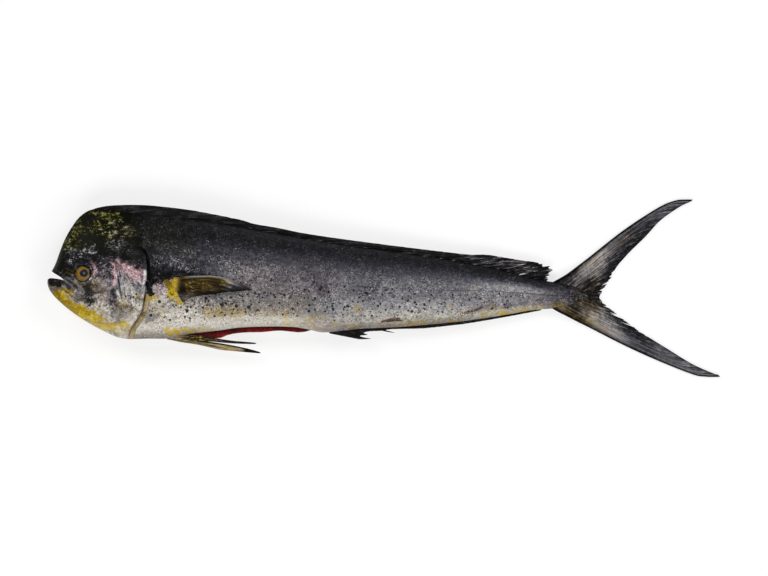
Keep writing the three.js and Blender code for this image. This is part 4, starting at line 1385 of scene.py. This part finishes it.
def paint_pectoral(made):
    """Yellow at the root, silvery with a painted highlight along the leading edge, and grey towards the tip.
    """
    along, up, _ = vertices(made)
    top = gap_to(along, up, [*PECTORAL["lead"], PECTORAL["tip"]])
    grey = rise(along, 256, 18)
    # Along the leading edge the fin is lighter: partly its silvery edge, partly a painted highlight.
    silver_and_highlight = (1 - rise(top, 1.2 + 2.5 * grey, 3)) * rise(along, 196, 20) * fall(along, 300, 30)
    yellow = 1 - beyond(along, up, 179, 8, 0.9, 11, 13)
    below = fall(up, -2, 10) * fall(along, 240, 30)
    golden = bump(along - 230, 32) * bump(up - 8, 10)
    tone = mix(mix(mix(0.14, 0.15, grey) + 0.09 * golden, 0.48, silver_and_highlight), 0.7, yellow)
    tone = mix(tone, 0.34, 0.7 * below)
    warmth = mix(mix(mix(2, 1.1, below), 0.5, grey), 0.4, silver_and_highlight)
    contrast = mix(0.08, 0.06, grey)
    gold = np.maximum(yellow, 0.62 * golden)
    paint_fin(made, tone, contrast, warmth, marked=PECTORAL_MARKS, gold=gold)


def make_pectorals():
    # Each fin as (side, level, half thickness at its root and at its tip).
    for side, level, root, tip in (("left", laid_level, 1.8, 0.9), ("right", pressed_level, 1.6, 1.4)):
        made = fin(
            f"fin_pectoral_{side}", fan(**PECTORAL), level, rays=20, steps=70, root=root, tip=tip, seed=7,
            torn=lambda across: 0.02 + 0 * across, streaks=(16, 3),
        )
        paint_pectoral(made)


PELVIC_MARKS = {
    "left": {
        "gold": [(0.9, 0.8, 2.5, [(198, -72.5), (222, -75), (244, -77.5)])],
        "pale": [(0.5, 0.4, 1.6, [(204, -72), (226, -74), (250, -77)])],
    },
    "right": {
        "gold": [(0.6, 1, 3, [(200, -78.5), (240, -86), (272, -91)])],
        "ink": [(1, 0.8, 1.4, [(222, -77.8), (257, -82.2), (291, -88.8), (311, -94)])],
    },
}


# The pelvic fins, as (name, form, heights of its root and its tip, tone, seed of its random draws).
PELVICS = [("left", PELVIC_LEFT, (43.2, 39), 0.2, 8), ("right", PELVIC_RIGHT, (37, 17), 0.58, 9)]
PELVIC_START, PELVIC_REACH = 174, 140


def make_pelvics():
    for name, shape, heights, tone, seed in PELVICS:
        made = fin(
            f"fin_pelvic_{name}", fan(**shape),
            lambda along, up, out, heights=heights: mix(*heights, (along - PELVIC_START) / PELVIC_REACH),
            rays=6, steps=80, root=1.6, tip=0.8, seed=seed, streaks=(7, 5),
        )
        along, _, _ = vertices(made)
        tone = mix(tone, 0.62, 1 - rise(along, 188, 26))
        dark_tip = rise(along, 284, 14)
        paint_fin(made, tone, contrast=0.14, warmth=1.5, marked=PELVIC_MARKS[name], ink=dark_tip)


# The direction of the eye's pupil, as along and up for each step outwards.
GAZE = (0.22, 0.02)


def make_eyes():
    material = eye_material()
    for name, side in (("left", 1), ("right", -1)):
        made = eyeball(f"eyeball_{name}", side)
        centre = eye_frame(side)[0]
        along, up, z = vertices(made)
        away = np.stack([along, up, z], axis=-1) - np.array(centre)
        gaze = np.array(Vector((GAZE[0], GAZE[1], side)).normalized())
        front = away @ gaze
        flat = np.linalg.norm(away - front[:, None] * gaze, axis=1) / EYE["radius"]
        store(made, off=np.where(front > 0, flat, 1.0))
        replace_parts(finished(made, material), f"eye_{name}")


def make_lining():
    made = belly_pocket("belly_inside", deep=17, low=-0.7, high=0.7, steps=120, rows=24, overhang=-0.6)
    along, up, _ = vertices(made)
    # `out` is 0 just under the left flap's edge, where the lining gets its painted shadow, and 1 at the
    # right flap's edge.
    out = clamp01((belly(along) - up) / np.maximum(flap(along), 1))
    store(made, out=out)
    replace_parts(finished(made, flesh), "belly_lining")


# The floor's half size and level, both in metres, and the strength of its glow.
FLOOR = {"half": 6, "level": -1e-4, "glow": 0.7}
WORLD_STRENGTH = 0.08
# Suns, as (name, direction of the light's source, strength), and how wide each looks, in degrees.
SUNS = [
    ("key", (-0.7, 0.8, 1.0), 1.35), ("fill", (0.9, 0.6, 1.0), 0.95), ("front", (-0.3, -1.0, 1.0), 1.25),
    ("side", (0.9, -0.8, 1.0), 0.9),
]
SUN_WIDTH = 30
# The camera's lens and sensor, the place it looks at, and the height at which the picture's scale holds.
CAMERA = {"lens": 300, "sensor": 36, "along": -0.8, "up": 0.4, "height": 22}
PICTURE_WIDTH = 768
MM_PER_PIXEL = 1.4866


def make_floor():
    """A white surface, brighter than the lights alone make it, as in the photograph."""
    half, level = FLOOR["half"], FLOOR["level"]
    corners = [(half * x, half * y, level) for x, y in ((-1, -1), (1, -1), (1, 1), (-1, 1))]
    data = bpy.data.meshes.new("floor")
    data.from_pydata(corners, [], [(0, 1, 2, 3)])
    shader = Shader("floor", roughness=0.9, specular=0.1)
    shader.set("Base Color", (0.3, 0.3, 0.3, 1))
    shader.set("Emission Color", (1, 1, 1, 1))
    shader.set("Emission Strength", FLOOR["glow"])
    data.materials.append(shader.material)
    added("floor", data)


def make_lights():
    world = bpy.context.scene.world or bpy.data.worlds.new("studio")
    bpy.context.scene.world = world
    world.use_nodes = True
    background = world.node_tree.nodes["Background"].inputs
    background["Color"].default_value = (1, 1, 1, 1)
    background["Strength"].default_value = WORLD_STRENGTH
    for name, direction, strength in SUNS:
        data = bpy.data.lights.new(name, "SUN")
        data.energy = strength
        data.angle = math.radians(SUN_WIDTH)
        added(name, data).rotation_euler = Vector(direction).to_track_quat("Z", "Y").to_euler()


def make_camera():
    """A long lens straight above the fish, so far away that the picture has the photograph's scale."""
    data = bpy.data.cameras.new("camera")
    data.lens = CAMERA["lens"]
    data.sensor_width = CAMERA["sensor"]
    data.clip_end = 100
    width = PICTURE_WIDTH * MM_PER_PIXEL * MM
    away = CAMERA["height"] * MM + width * data.lens / data.sensor_width
    camera = added("camera", data)
    camera.location = (CAMERA["along"] * MM, CAMERA["up"] * MM, away)
    bpy.context.scene.camera = camera


make_body()
make_tail()
make_dorsal()
make_anal()
make_pectorals()
make_pelvics()
make_eyes()
make_lining()
make_floor()
make_lights()
make_camera()
bpy.context.scene.view_settings.view_transform = "Standard"
